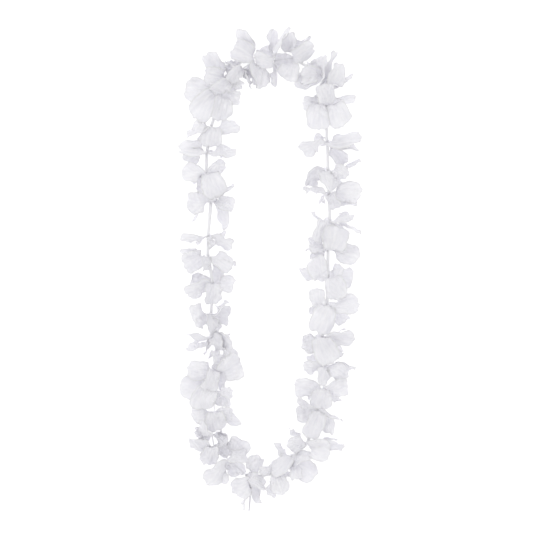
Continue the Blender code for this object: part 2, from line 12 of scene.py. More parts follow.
import bmesh
import bpy
import numpy as np
from mathutils.bvhtree import BVHTree
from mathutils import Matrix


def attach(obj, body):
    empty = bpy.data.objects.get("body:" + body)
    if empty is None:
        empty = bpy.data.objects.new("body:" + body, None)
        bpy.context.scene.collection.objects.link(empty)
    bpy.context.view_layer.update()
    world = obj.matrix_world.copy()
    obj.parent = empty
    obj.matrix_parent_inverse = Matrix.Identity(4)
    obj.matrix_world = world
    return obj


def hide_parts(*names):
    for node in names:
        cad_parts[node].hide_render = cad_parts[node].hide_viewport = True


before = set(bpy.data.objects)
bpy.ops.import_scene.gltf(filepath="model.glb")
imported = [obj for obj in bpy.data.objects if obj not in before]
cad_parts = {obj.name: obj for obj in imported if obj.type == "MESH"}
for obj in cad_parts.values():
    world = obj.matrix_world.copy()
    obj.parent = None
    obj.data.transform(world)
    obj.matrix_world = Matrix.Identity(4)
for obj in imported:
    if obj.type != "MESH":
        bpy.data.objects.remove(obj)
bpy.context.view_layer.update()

MM = 0.001
UP = np.array((0.0, 0.0, 1.0))
TINY = 1e-12
PLAN_MIDDLE = (270.1, 269.4)
PICTURE_MIDDLE = (270.0, 270.0)
PETALS = 5
SLOT_ANGLE = 2 * math.pi / PETALS
WELD = 0.002 * MM
WHITE = (1.0, 1.0, 1.0, 1.0)
EVEN_SPREAD = (1.0, 1.0, 1.0)
FLAT_CUT = "flat_cut"
CUT_EDGE = "cut_edge"
BODY = "root"

log = logging.getLogger("lei")


class Slot(Enum):
    """The record's material slots."""

    CLOTH = "white_cloth"
    TUBE = "white_tube"
    THREAD = "white_thread"


class TipCut(Enum):
    """How the die and the handling have left a petal's end."""

    ROUND = "round"
    NOTCHED = "notched"
    NIBBLED = "nibbled"
    SCALLOPED = "scalloped"


@dataclass(frozen=True)
class Petal:
    """Where a petal lies on the plan."""

    x: float  # Where its tip lies, to the right
    y: float  # Where its tip lies, downwards
    seen: float  # How wide it is seen from above, in millimetres
    rise: float  # How far its tip stands over the hub, in millimetres
    bow: float = 0.0  # How far its middle swings to the left of the straight way out, in millimetres


@dataclass(frozen=True)
class Floret:
    """One floret on the thread."""

    x: float  # Where its hub lies on the plan, to the right
    y: float  # Where its hub lies on the plan, downwards
    petals: tuple[Petal, ...]  # Its five petals
    tube: bool = False  # Whether a spacer tube follows it
    hidden_tube: bool = False  # Whether a spacer tube that petals hide from above follows it


# Round the loop from the knot at its foot: up the right side, over the top and down the left side
FLORETS = (
    Floret(250, 478, (Petal(258, 455, 19, 4), Petal(234, 493, 27, 5), Petal(266, 486, 15, 3),
                      Petal(260, 505, 9, -6), Petal(242, 507, 4, -10, -1)), hidden_tube=True),
    Floret(275, 473, (Petal(259, 471, 14, 9), Petal(283, 494, 20, 2), Petal(269, 496, 13, -3),
                      Petal(284, 461, 12, -8), Petal(292, 474, 9, -8))),
    Floret(291, 458, (Petal(277, 442, 10, 2), Petal(271, 471, 15, 10, 1), Petal(296, 480, 15, 8),
                      Petal(315, 479, 20, -2), Petal(308, 451, 14, 1)), tube=True),
    Floret(307, 444, (Petal(291, 429, 5, 2), Petal(288, 447, 20, 4), Petal(331, 450, 21, 7, -2),
                      Petal(336, 438, 3, 2, -4), Petal(345, 446, 7, -4)), tube=True),
    Floret(318, 411, (Petal(297, 399, 10, 6), Petal(296, 417, 20, 0), Petal(308, 438, 17, 6),
                      Petal(330, 435, 11, -2, 2), Petal(341, 419, 2.5, -3, -2)), tube=True),
    Floret(323, 389, (Petal(294, 387, 19, 3), Petal(320, 409, 23, 9), Petal(349, 385, 19, 3),
                      Petal(339, 402, 10, -5), Petal(307, 397, 8, -8))),
    Floret(325, 367, (Petal(303, 367, 17, 6), Petal(309, 355, 12, -8), Petal(356, 369, 3, 0, 5),
                      Petal(348, 377, 20, 2), Petal(325, 385, 14, 8)), hidden_tube=True),
    Floret(322, 338, (Petal(302, 347, 25, 3, 2), Petal(355, 338, 13, 4), Petal(344, 330, 3, -2),
                      Petal(332, 364, 22, 9), Petal(344, 354, 11, -6)), tube=True),
    Floret(327, 306, (Petal(317, 288, 19, 7, 2), Petal(360, 305, 17, 3, 2), Petal(317, 334, 22, 8),
                      Petal(346, 323, 16, -5), Petal(309, 310, 10, -3)), tube=True),
    Floret(328, 278, (Petal(302, 268, 10, -2), Petal(314, 257, 20, 5), Petal(339, 264, 17, 2),
                      Petal(354, 277, 18, -4), Petal(338, 300, 20, 6, 3)), tube=True),
    Floret(328, 250, (Petal(338, 226, 24, 12), Petal(308, 240, 15, 2), Petal(307, 251, 7, -5),
                      Petal(359, 258, 19, 4), Petal(310, 260, 8, -9)), tube=True),
    Floret(330, 221, (Petal(353, 215, 10, 5, 2), Petal(314, 213, 3.5, 3, 1), Petal(320, 243, 15, 6),
                      Petal(362, 233, 3.5, -1), Petal(344, 236, 12, -10)), tube=True),
    Floret(329, 195, (Petal(305, 192, 6, 0, -6), Petal(362, 194, 20, 5), Petal(320, 203, 9, -7),
                      Petal(336, 209, 15, 3), Petal(358, 205, 8, -5)), tube=True),
    Floret(328, 171, (Petal(309, 187, 15, 3, -3), Petal(345, 179, 19, 9), Petal(361, 160, 3, -1, -1),
                      Petal(335, 190, 15, 9), Petal(341, 186, 10, -12)), tube=True),
    Floret(327, 143, (Petal(300, 151, 13, 2, 1), Petal(319, 133, 14, -4), Petal(362, 136, 13, 3),
                      Petal(358, 147, 10, -4), Petal(346, 164, 12, -6)), tube=True),
    Floret(326, 104, (Petal(324, 84, 19, 9), Petal(302, 103, 19, 0), Petal(356, 97, 8, 0, 1),
                      Petal(318, 131, 21, 7), Petal(343, 127, 22, 5))),
    Floret(327, 86, (Petal(336, 50, 5, 2, 4), Petal(341, 63, 16, 3), Petal(353, 76, 4, -1),
                     Petal(339, 87, 9, -5), Petal(318, 100, 14, -9))),
    Floret(320, 74, (Petal(301, 75, 20, 2), Petal(294, 82, 12, -9), Petal(323, 55, 16, 2),
                     Petal(305, 86, 10, -8), Petal(309, 61, 12, -5)), tube=True),
    Floret(293, 58, (Petal(286, 35, 17, 4), Petal(285, 80, 27, 2), Petal(310, 37, 6, 4),
                     Petal(314, 48, 16, 0), Petal(274, 61, 20, -7))),
    Floret(273, 61, (Petal(273, 28, 9, 0), Petal(290, 27, 3.5, 3, 2), Petal(273, 86, 7, -4),
                     Petal(254, 57, 15, 10), Petal(260, 47, 14, -8))),
    Floret(254, 61, (Petal(240, 28, 11, 8), Petal(232, 47, 21, 3), Petal(256, 87, 9, -3),
                     Petal(266, 87, 15, 2), Petal(245, 75, 14, -6))),
    Floret(242, 69, (Petal(228, 82, 12, 6), Petal(250, 88, 3, 2), Petal(227, 61, 8, 0),
                     Petal(251, 79, 16, -5), Petal(240, 47, 12, -8))),
    Floret(228, 80, (Petal(206, 53, 16, 5), Petal(204, 76, 19, 4), Petal(231, 62, 11, -3),
                     Petal(211, 92, 14, 8), Petal(243, 87, 18, -2))),
    Floret(221, 96, (Petal(184, 88, 23, 2), Petal(194, 119, 23, 6), Petal(221, 121, 19, 4),
                     Petal(241, 98, 21, 3), Petal(238, 80, 12, -8)), tube=True),
    Floret(211, 127, (Petal(210, 148, 22, 9), Petal(187, 133, 13, -2), Petal(198, 139, 9, -7),
                      Petal(200, 123, 9, -4), Petal(240, 127, 15, 2, 1)), hidden_tube=True),
    Floret(207, 152, (Petal(178, 149, 15, 2), Petal(186, 162, 16, -6), Petal(235, 150, 12, 2, 1),
                      Petal(226, 156, 6, -8), Petal(190, 147, 8, -9)), tube=True),
    Floret(206, 174, (Petal(182, 170, 21, 2), Petal(226, 166, 18, 3, 3), Petal(217, 198, 22, 12, 4),
                      Petal(198, 191, 12, -6), Petal(192, 182, 10, -10)), tube=True),
    Floret(211, 202, (Petal(187, 204, 25, 2), Petal(235, 206, 19, 3), Petal(234, 184, 2.5, 0, 2),
                      Petal(194, 221, 3, -4, -2), Petal(224, 231, 9, -4, 5)), tube=True),
    Floret(208, 237, (Petal(182, 239, 8, 2, 2), Petal(196, 242, 9, -6), Petal(233, 246, 13, -1, -2),
                      Petal(213, 247, 12, 3), Petal(226, 235, 7, -8)), tube=True),
    Floret(208, 257, (Petal(182, 249, 8, 0), Petal(183, 266, 23, 5), Petal(236, 263, 5, 0, -3),
                      Petal(232, 268, 18, 5), Petal(205, 271, 11, 9)), tube=True),
    Floret(213, 284, (Petal(190, 282, 22, 0), Petal(187, 296, 14, 5), Petal(235, 284, 23, 4),
                      Petal(212, 305, 17, 8), Petal(220, 265, 14, -6)), tube=True),
    Floret(211, 314, (Petal(192, 319, 32, 14), Petal(230, 316, 25, 4), Petal(227, 301, 5, 6, 1),
                      Petal(215, 332, 11, 2), Petal(219, 334, 12, -9)), hidden_tube=True),
    Floret(211, 338, (Petal(188, 336, 7, 2, 6), Petal(187, 345, 8, -3, 6), Petal(230, 336, 11, 2),
                      Petal(204, 353, 2.5, -5), Petal(225, 350, 11, 4))),
    Floret(219, 350, (Petal(209, 357, 4, -4), Petal(219, 364, 14, 6), Petal(214, 333, 12, 9),
                      Petal(238, 359, 14, -7), Petal(227, 348, 8, -9))),
    Floret(217, 371, (Petal(187, 371, 20, 4), Petal(242, 363, 27, 2), Petal(207, 391, 16, 10),
                      Petal(222, 389, 11, -6), Petal(226, 353, 11, -7))),
    Floret(215, 391, (Petal(179, 386, 21, -2), Petal(201, 410, 22, 6), Petal(233, 394, 17, 6),
                      Petal(225, 408, 16, -4), Petal(200, 376, 10, -8))),
    Floret(214, 412, (Petal(191, 415, 23, 0), Petal(233, 415, 20, 4), Petal(242, 424, 8, -4, -3),
                      Petal(218, 431, 22, 11), Petal(197, 426, 16, -7))),
    Floret(212, 435, (Petal(195, 431, 18, 3), Petal(227, 434, 11, -3), Petal(200, 421, 12, 6),
                      Petal(226, 443, 15, 2), Petal(194, 448, 9, -8))),
    Floret(214, 446, (Petal(188, 441, 13, 2, -1), Petal(206, 465, 19, 1), Petal(232, 455, 18, -5),
                      Petal(200, 457, 10, -8), Petal(226, 438, 16, 6))),
    Floret(228, 459, (Petal(244, 440, 25, 8), Petal(205, 484, 15, 5, 2), Petal(220, 485, 15, -4),
                      Petal(241, 476, 17, -7), Petal(248, 457, 16, 1))),
)


def plan_point(x: float, y: float, z: float = 0.0) -> np.ndarray:
    """A point of the plan, in metres from the middle of the lei, z metres over the surface."""
    return np.array(((x - PLAN_MIDDLE[0]) * MM, (PLAN_MIDDLE[1] - y) * MM, z))


def unit(vectors: np.ndarray) -> np.ndarray:
    """The vectors at length 1, along the last axis."""
    return vectors / (np.linalg.norm(vectors, axis=-1, keepdims=True) + TINY)


def smooth(t: np.ndarray) -> np.ndarray:
    """An S-shaped step from 0 at t = 0 to 1 at t = 1."""
    t = np.clip(t, 0.0, 1.0)
    return t * t * (3 - 2 * t)


def hermite(x: np.ndarray, known: np.ndarray, values: np.ndarray, slopes: np.ndarray) -> np.ndarray:
    """A smooth curve through known values with known slopes.

    Args:
        x: where it is wanted.
        known: where the values are known, in order.
        values: the known values, each a number or a point.
        slopes: the curve's slopes there.

    Returns:
        The curve's values at x.
    """
    left = np.clip(np.searchsorted(known, x) - 1, 0, len(known) - 2)
    shape = (-1,) + (1,) * (values.ndim - 1)
    span = (known[left + 1] - known[left]).reshape(shape)
    t = (x - known[left]).reshape(shape) / span
    ends = (2 * t**3 - 3 * t**2 + 1) * values[left] + (3 * t**2 - 2 * t**3) * values[left + 1]
    return ends + span * ((t**3 - 2 * t**2 + t) * slopes[left] + (t**3 - t**2) * slopes[left + 1])


def through(x: np.ndarray, at: tuple[float, ...], values: tuple[float, ...]) -> np.ndarray:
    """A smooth curve through a few known values.

    Args:
        x: where it is wanted.
        at: where the values are known, in order.
        values: the known values.

    Returns:
        The curve's values at x, level at the last known one.
    """
    known, heights = np.array(at), np.array(values)
    slopes = np.gradient(heights, known)
    slopes[-1] = 0.0
    return hermite(x, known, heights, slopes)


def around(cord: np.ndarray, angles: np.ndarray) -> np.ndarray:
    """Unit vectors square to the thread at these angles, from level on its right side upwards."""
    level = unit(np.cross(cord, UP))
    return np.outer(np.cos(angles), level) + np.outer(np.sin(angles), np.cross(level, cord))


def level_and_upward(cord: np.ndarray) -> np.ndarray:
    """The two unit vectors square to the thread, level on its right side and upwards."""
    return around(cord, (0.0, math.pi / 2))


def bezier_weights(t: np.ndarray) -> tuple[np.ndarray, np.ndarray]:
    """How much each of a Bezier's four points counts.

    Args:
        t: places along it, from 0 to 1.

    Returns:
        The weights of the points for its places there, and for the way that it runs there.
    """
    t = np.asarray(t)[:, None]
    s = 1 - t
    point = np.hstack([s**3, 3 * s * s * t, 3 * s * t * t, t**3])
    way = np.hstack([-s * s, s * s - 2 * s * t, 2 * s * t - t * t, t * t])
    return point, way


def grid_quads(rows: int, columns: int) -> np.ndarray:
    """The four-cornered faces of a grid of points that is counted row by row."""
    corners = np.arange(rows * columns).reshape(rows, columns)[:-1, :-1].reshape(-1, 1)
    return corners + np.array((0, 1, columns + 1, columns))


@dataclass
class Stringing:
    """How the florets are strung: their hubs, and how the thread and the petals leave them."""

    florets: tuple[Floret, ...]  # The florets, in order round the loop
    hub_height: float = 17.0 * MM  # How high over the surface the thread runs
    hub_sway: float = 1.2 * MM  # How far it sways up and down round the loop
    hub_sway_step: float = 2.1  # How fast it sways, in radians from hub to hub
    hub_radius: float = 3.4 * MM  # From the thread to where the petals part
    hub_hole: float = 1.1 * MM  # The radius of the hole for the thread
    turns_tried: int = 12  # How many turns of a hub are tried to place its petals
    leave_lift: float = 0.35  # How much a rising tip turns its petal upwards where it leaves
    hubs: list[np.ndarray] = field(init=False)  # The hubs' centres
    cords: list[np.ndarray] = field(init=False)  # The way the thread runs through each hub
    ways: list[np.ndarray] = field(init=False)  # The ways by which each hub's petals leave it

    def __post_init__(self) -> None:
        """Places the hubs, and turns each to suit its petals."""
        self.hubs = [
            plan_point(f.x, f.y, self.hub_height + self.hub_sway * math.sin(self.hub_sway_step * i))
            for i, f in enumerate(self.florets)
        ]
        numbers = range(len(self.hubs))
        self.cords = [unit(self.run(i - 1)[0] + self.run(i)[0]) for i in numbers]
        self.ways = [self.leaving_ways(i) for i in numbers]

    def run(self, i: int) -> tuple[np.ndarray, float]:
        """The way the thread runs from hub i to the next one, as a unit vector, and how far."""
        step = self.hubs[(i + 1) % len(self.hubs)] - self.hubs[i % len(self.hubs)]
        return unit(step), float(np.linalg.norm(step))

    def leaving_ways(self, i: int) -> np.ndarray:
        """Turns the five evenly spread petals of a hub so that each starts near its tip's side.

        Args:
            i: the floret's number.

        Returns:
            The unit vector by which each petal leaves the hub.
        """
        hub, cord, petals = self.hubs[i], self.cords[i], self.florets[i].petals
        level, upward = level_and_upward(cord)
        wanted = []
        for petal in petals:
            out = plan_point(petal.x, petal.y, hub[2] + petal.rise * MM) - hub
            lift = out @ upward + math.copysign(self.leave_lift, petal.rise) * abs(out @ cord)
            wanted.append(math.atan2(lift, out @ level))
        order = np.argsort(wanted, kind="stable")
        best_miss, best = None, None
        for turn in range(self.turns_tried * PETALS):
            angles = np.empty(PETALS)
            angles[order] = SLOT_ANGLE * (turn / self.turns_tried + np.arange(PETALS))
            miss = np.sum(1 - np.cos(angles - wanted))
            if best is None or miss < best_miss - TINY:
                best_miss, best = miss, angles
        return around(cord, best)


@dataclass(frozen=True)
class Bend:
    """How one petal is bent."""

    petal: Petal  # Its plan
    turned_over: bool = False  # Whether its arch is turned over


@dataclass(frozen=True)
class Strip:
    """A bent petal's middle and its directions at many points."""

    middle: np.ndarray  # Points of the midline
    across: np.ndarray  # Unit vectors across the petal
    face: np.ndarray  # Unit vectors off its face
    width: float  # Its full width
    kept: float  # The share of its full length that the bend leaves


@dataclass
class PetalBending:
    """How flat petals are bent over, as on the solids."""

    strung: Stringing  # The hubs that the petals leave
    length: float = 34.0 * MM  # From the thread to the tip of a flat petal
    width: float = 22.0 * MM  # Across a flat petal
    spread: float = 1.12  # How much wider than on the plan a petal is laid
    cloth: float = 0.6 * MM  # The thickness of a solid petal
    early: float = 0.34  # Where its way out ends, as a share of its reach
    late: float = 0.3  # Where its way in starts, as a share of its reach
    late_arch: float = 0.75  # The share of the arch at the later of these
    arch_limit: float = 6.0 * MM  # The highest arch
    arch_steps: int = 8  # How often the arch is halved to find it
    midline_steps: int = 12  # The steps that measure a midline
    droops_below: float = -0.2  # How steeply a petal leaves downwards to arch downwards
    turn_by: float = 0.27  # The share of its length in which it is turned over
    tip_rounding: float = 0.12  # How far a solid petal's corners stand back
    rounding_from: float = 0.6  # Where they start to
    cup_depth: float = 1.6 * MM  # How deep it is cupped
    cup_level: float = 0.4  # How much of the cup lies under its middle
    cup_until: float = 0.9  # Where the cup stops
    wave_depth: float = 1.1 * MM  # How deep its sides wave
    wave_step: float = 1.7  # How much the wave differs from petal to petal
    wave_full_from: float = 0.5  # Where the wave is full
    rows: tuple[float, ...] = (0.0, 0.2, 0.42, 0.65, 0.85, 1.0)  # Where a solid petal's rows of points lie
    columns: tuple[float, ...] = (-1.0, 0.0, 1.0)  # Where its columns lie
    profile_at: tuple[float, ...] = (0.0, 0.25, 0.5, 0.75, 0.9, 1.0)  # Where its half widths are known
    # Its half widths there, as a share of the greatest
    profile: tuple[float, ...] = (0.2, 0.55, 0.92, 1.0, 0.97, 0.75)

    @property
    def blade(self) -> float:
        """The length of a flat petal beyond its hub."""
        return self.length - self.strung.hub_radius

    def midline_length(self, ends: np.ndarray) -> float:
        """How long the midline with these Bezier points is."""
        weights = bezier_weights(np.linspace(0, 1, self.midline_steps + 1))[0]
        return np.linalg.norm(np.diff(weights @ ends, axis=0), axis=1).sum()

    def midline(self, i: int, k: int, bend: Bend) -> np.ndarray:
        """A petal's midline, out square to the thread and then over to its tip.

        Args:
            i: the floret's number.
            k: the petal's number.
            bend: how it is bent.

        Returns:
            The four points of its Bezier curve. What the reach leaves of its length is its arch.
        """
        hub, leave, petal = self.strung.hubs[i], self.strung.ways[i][k], bend.petal
        swell = UP if (leave[2] > self.droops_below) != bend.turned_over else -UP
        tip = plan_point(petal.x, petal.y, max(hub[2] + petal.rise * MM, self.cloth))
        root = hub + leave * self.strung.hub_radius
        out = tip - root
        reach = np.linalg.norm(out)
        side = unit(np.cross(UP, out)) * petal.bow * MM
        early = root + leave * self.early * min(reach, self.blade) + side
        late = tip - out * self.late + side

        def ends(arch: float) -> np.ndarray:
            """The Bezier points with this arch."""
            return np.array([root, early + swell * arch, late + swell * self.late_arch * arch, tip])

        low, high = 0.0, self.arch_limit
        for _ in range(self.arch_steps):
            arch = (low + high) / 2
            if self.midline_length(ends(arch)) < self.blade:
                low = arch
            else:
                high = arch
        return ends(low)

    def strip(self, i: int, k: int, bend: Bend, along: np.ndarray, side: float = 0.0) -> Strip:
        """A petal's midline and directions.

        Args:
            i: the floret's number.
            k: the petal's number.
            bend: how it is bent.
            along: where on the midline, from 0 at its root to 1 at its tip.
            side: which way it is turned over, 1 or -1, or 0 to choose by the points themselves.

        Returns:
            The strip at those places.
        """
        cord, leave, petal = self.strung.cords[i], self.strung.ways[i][k], bend.petal
        ends = self.midline(i, k, bend)
        weights, way_weights = bezier_weights(along)
        way = unit(way_weights @ ends)
        level = unit(np.cross(UP, ends[3] - ends[0]))
        seen = abs(petal.seen) * self.spread * MM
        width = max(self.width, seen)
        roll = math.copysign(math.acos(seen / width), petal.seen)
        turned = level * math.cos(roll) + unit(np.cross(level, way)) * math.sin(roll)
        tangent = np.cross(cord, leave)
        share = smooth(along / self.turn_by)[:, None]
        if not side:
            side = -1.0 if np.sum(turned[share[:, 0] < 1] @ tangent) < 0 else 1.0
        across = tangent * (1 - share) + turned * side * share
        across = unit(across - way * np.sum(across * way, axis=1, keepdims=True))
        kept = min(self.midline_length(ends) / self.blade, 1.0)
        return Strip(weights @ ends, across, np.cross(across, way), width, kept)

    def solid_grid(self) -> tuple[np.ndarray, np.ndarray, np.ndarray]:
        """Lays out a solid petal's points.

        Returns:
            For each point, its row's place, its column's place and its place along the midline.
        """
        u = np.repeat(self.rows, len(self.columns))
        v = np.tile(self.columns, len(self.rows))
        rounded = smooth((u - self.rounding_from) / (1 - self.rounding_from))
        return u, v, u - self.tip_rounding * v * v * rounded

    def turned_side(self, i: int, k: int, bend: Bend) -> float:
        """Finds which way the solid petal is turned over.

        Args:
            i: the floret's number.
            k: the petal's number.
            bend: how it is bent.

        Returns:
            1 or -1.
        """
        along = self.solid_grid()[2]
        across = self.strip(i, k, bend, along).across
        other = self.strip(i, k, bend, along, 1.0).across
        return 1.0 if np.allclose(across, other) else -1.0

    def cupping(self, i: int, k: int, along: np.ndarray, v: np.ndarray) -> np.ndarray:
        """How far a petal stands off its strip because it is cupped and waved.

        Args:
            i: the floret's number.
            k: the petal's number.
            along: places along the petal.
            v: places across it, from -1 to 1.

        Returns:
            The heights there, in metres.
        """
        cup = self.cup_depth * (v * v - self.cup_level)
        cup *= np.sin(math.pi * np.minimum(along, self.cup_until))
        wave = self.wave_depth * v * np.sin(2 * math.pi * along + self.wave_step * (PETALS * i + k))
        return cup + wave * smooth(along / self.wave_full_from)

    def solid_points(self, i: int, k: int, bend: Bend) -> np.ndarray:
        """The middle surface of a solid petal.

        Args:
            i: the floret's number.
            k: the petal's number.
            bend: how it is bent.

        Returns:
            Its points, row by row from its root on the hub's rim.
        """
        hub, leave = self.strung.hubs[i], self.strung.ways[i][k]
        u, v, along = self.solid_grid()
        strip = self.strip(i, k, bend, along)
        half = 0.5 * strip.width * strip.kept * np.interp(u, self.profile_at, self.profile)
        off = self.cupping(i, k, along, v)
        points = strip.middle + strip.across * (half * v)[:, None] + strip.face * off[:, None]
        points[:, 2] = np.maximum(points[:, 2], self.cloth / 2)
        rim = np.array(self.columns) * SLOT_ANGLE / 2
        tangent = np.cross(self.strung.cords[i], leave)
        arc = np.outer(np.cos(rim), leave) + np.outer(np.sin(rim), tangent)
        points[u == 0] = hub + self.strung.hub_radius * arc
        return points


class Solid:
    """A piece's triangles, kept for finding where it crosses others."""

    def __init__(self, points: np.ndarray, faces: np.ndarray) -> None:
        """Keeps the triangles.

        Args:
            points: the piece's points.
            faces: three point numbers for each triangle.
        """
        self.tree = BVHTree.FromPolygons(points.tolist(), faces.tolist())
        self.corners = points[faces]
        self.low = points.min(axis=0)
        self.high = points.max(axis=0)

    @classmethod
    def of_rings(cls, rings: list[np.ndarray]) -> "Solid":
        """Joins rings of points one after another.

        Args:
            rings: the rings, each with as many points.

        Returns:
            The surface between them.
        """
        sides = len(rings[0])
        faces = []
        for base in range(0, sides * (len(rings) - 1), sides):
            for side in range(sides):
                a, b = base + side, base + (side + 1) % sides
                faces += [(a, b, b + sides), (a, b + sides, a + sides)]
        return cls(np.vstack(rings), np.array(faces))

    def crossings(self, other: "Solid") -> np.ndarray:
        """The pairs of triangles of this piece and the other that cross."""
        return np.array(self.tree.overlap(other.tree), dtype=int).reshape(-1, 2)

    def touching(self, triangles: np.ndarray, point: np.ndarray, reach: float) -> np.ndarray:
        """Which of these triangles have a corner within reach of the point."""
        off = np.linalg.norm(self.corners[triangles] - point, axis=2)
        return (off < reach).any(axis=1)


@dataclass
class Settling:
    """The petals of the whole lei, bent one after another until they lie clear of each other."""

    bending: PetalBending  # How petals are bent
    tail: np.ndarray  # The route of the thread's tail, from the knot on
    # How far a petal's tip may be lifted, in millimetres, the least first
    lifts: tuple[int, ...] = (0, 3, -3, 6, -6, 9, -9, 12, -12, 15, -15)
    # How far its middle may swing, in millimetres, the least first
    swings: tuple[int, ...] = (0, 3, -3, 6, -6)
    millimetre_cost: float = 0.12  # What a millimetre counts against one crossing
    turnover_cost: float = 0.3  # What turning the arch over counts
    lowest: float = -16.0  # How far under its hub a tip may lie, in millimetres
    highest: float = 20.0  # How far over it, in millimetres
    rounds: int = 4  # How often the whole lei is gone through
    room: float = 0.6 * MM  # The room left round the cloth
    corner_reach: float = 1.2 * MM  # How near a shared corner cloth isn't counted
    run_rings: int = 11  # The rings along each stretch of thread or tube
    ring_sides: int = 8  # The sides of those rings
    tube_radius: float = 1.6 * MM  # The tubes' radius
    thread_radius: float = 0.4 * MM  # The thread's radius
    knot_radius: float = 1.5 * MM  # The knot's radius
    tail_radius: float = 0.7 * MM  # The tail's radius

    def __post_init__(self) -> None:
        """Bends every petal as planned, and places the obstacles."""
        self.strung = self.bending.strung
        rows, columns = len(self.bending.rows), len(self.bending.columns)
        self.faces = self.blade_triangles(rows, columns)
        self.front = 2 * (rows - 1) * (columns - 1)
        self.joined = (self.faces[:, None, :, None] == self.faces[None, :, None, :]).any(axis=(2, 3))
        self.choices = sorted(
            (self.cost(lift, swing, over), lift, swing, sign, over)
            for over in (False, True)
            for sign in (1, -1)
            for lift in self.lifts
            for swing in self.swings
        )
        self.bent = {
            (i, k): Bend(petal)
            for i, floret in enumerate(self.strung.florets)
            for k, petal in enumerate(floret.petals)
        }
        self.wanted = {key: bend.petal for key, bend in self.bent.items()}
        self.keys = list(self.bent)
        self.solids = [self.blade_solid(key, bend) for key, bend in self.bent.items()]
        for i in range(len(self.strung.florets)):
            self.keys += [(i, "run"), (i, "hub")]
            self.solids += [self.run_solid(i), self.hub_solid(i)]
        self.keys.append((0, "run"))
        self.solids.append(self.tail_solid())
        self.low = np.array([solid.low for solid in self.solids])
        self.high = np.array([solid.high for solid in self.solids])

    def cost(self, lift: int, swing: int, over: bool) -> float:
        """What a change of a petal's plan counts, against one crossing as 1."""
        return self.millimetre_cost * (abs(lift) + abs(swing)) + self.turnover_cost * over

    @staticmethod
    def blade_triangles(rows: int, columns: int) -> np.ndarray:
        """Numbers the triangles of a solid petal.

        Args:
            rows: the rows of its points.
            columns: their columns.

        Returns:
            The triangles of its two faces, and those of its edge but for the root's.
        """
        corners = np.arange(rows * columns).reshape(rows, columns)[:-1, :-1].reshape(-1, 1)
        faces = np.vstack([corners + (0, 1, columns + 1), corners + (0, columns + 1, columns)])
        grid = np.arange(rows * columns).reshape(rows, columns)
        rim = np.concatenate([grid[:-1, 0], grid[-1, :-1], grid[::-1, -1]])
        start, end, count = rim[:-1], rim[1:], rows * columns
        first = np.stack([start, end, end + count], axis=1)
        second = np.stack([start, end + count, start + count], axis=1)
        return np.vstack([faces, faces[:, ::-1] + count, first, second])

    def blade_solid(self, key: tuple[int, int], bend: Bend) -> Solid:
        """Gives a petal its thickness.

        Args:
            key: the floret's number and the petal's.
            bend: how the petal is bent.

        Returns:
            The cloth with the room round it.
        """
        points = self.bending.solid_points(*key, bend)
        faces = self.faces[:self.front]
        corners = points[faces]
        facing = unit(np.cross(corners[:, 1] - corners[:, 0], corners[:, 2] - corners[:, 0]))
        normals = np.zeros_like(points)
        for corner in range(3):
            onward = unit(corners[:, (corner + 1) % 3] - corners[:, corner])
            back = unit(corners[:, corner - 1] - corners[:, corner])
            angle = np.arccos(np.clip(np.sum(onward * back, axis=1), -1, 1))
            np.add.at(normals, faces[:, corner], facing * angle[:, None])
        normals[:len(self.bending.columns)] -= self.strung.cords[key[0]] * math.pi
        normals = unit(normals) * (self.bending.cloth + self.room) / 2
        return Solid(np.vstack([points + normals, points - normals]), self.faces)

    def ring_angles(self) -> np.ndarray:
        """The angles of a ring's corners."""
        return np.arange(self.ring_sides) * 2 * math.pi / self.ring_sides

    def run_solid(self, i: int) -> Solid:
        """Follows the thread from one hub to the next.

        Args:
            i: the number of the first.

        Returns:
            The tube or the bare thread there, with the room round it.
        """
        way, far = self.strung.run(i)
        radius = self.room / 2 + (self.tube_radius if self.strung.florets[i].tube else self.thread_radius)
        ring = around(way, self.ring_angles()) * radius
        steps = np.linspace(0, 1, self.run_rings)
        return Solid.of_rings([self.strung.hubs[i] + way * far * step + ring for step in steps])

    def hub_solid(self, i: int) -> Solid:
        """Draws a hub.

        Args:
            i: the floret's number.

        Returns:
            The hub with the room round it.
        """
        cord, first, hub = self.strung.cords[i], self.strung.ways[i][0], self.strung.hubs[i]
        turns = np.arange(2 * PETALS) * SLOT_ANGLE / 2
        ring = np.outer(np.cos(turns), first) + np.outer(np.sin(turns), np.cross(cord, first))
        off = cord * (self.bending.cloth + self.room) / 2
        inner, outer = ring * self.strung.hub_hole, ring * self.strung.hub_radius
        return Solid.of_rings([hub + part for part in (inner - off, outer - off, outer + off, inner + off)])

    def tail_solid(self) -> Solid:
        """Draws the knot and the tail.

        Returns:
            Both with the room round them.
        """
        ways = unit(np.diff(self.tail, axis=0))
        knot = around(ways[0], self.ring_angles()) * (self.knot_radius + self.room / 2)
        rings = [self.tail[0] - ways[0] * self.knot_radius + knot, self.tail[0] + knot]
        for start, end, way in zip(self.tail, self.tail[1:], ways):
            ring = around(way, self.ring_angles()) * (self.tail_radius + self.room / 2)
            rings += [start + ring, end + ring]
        return Solid.of_rings(rings)

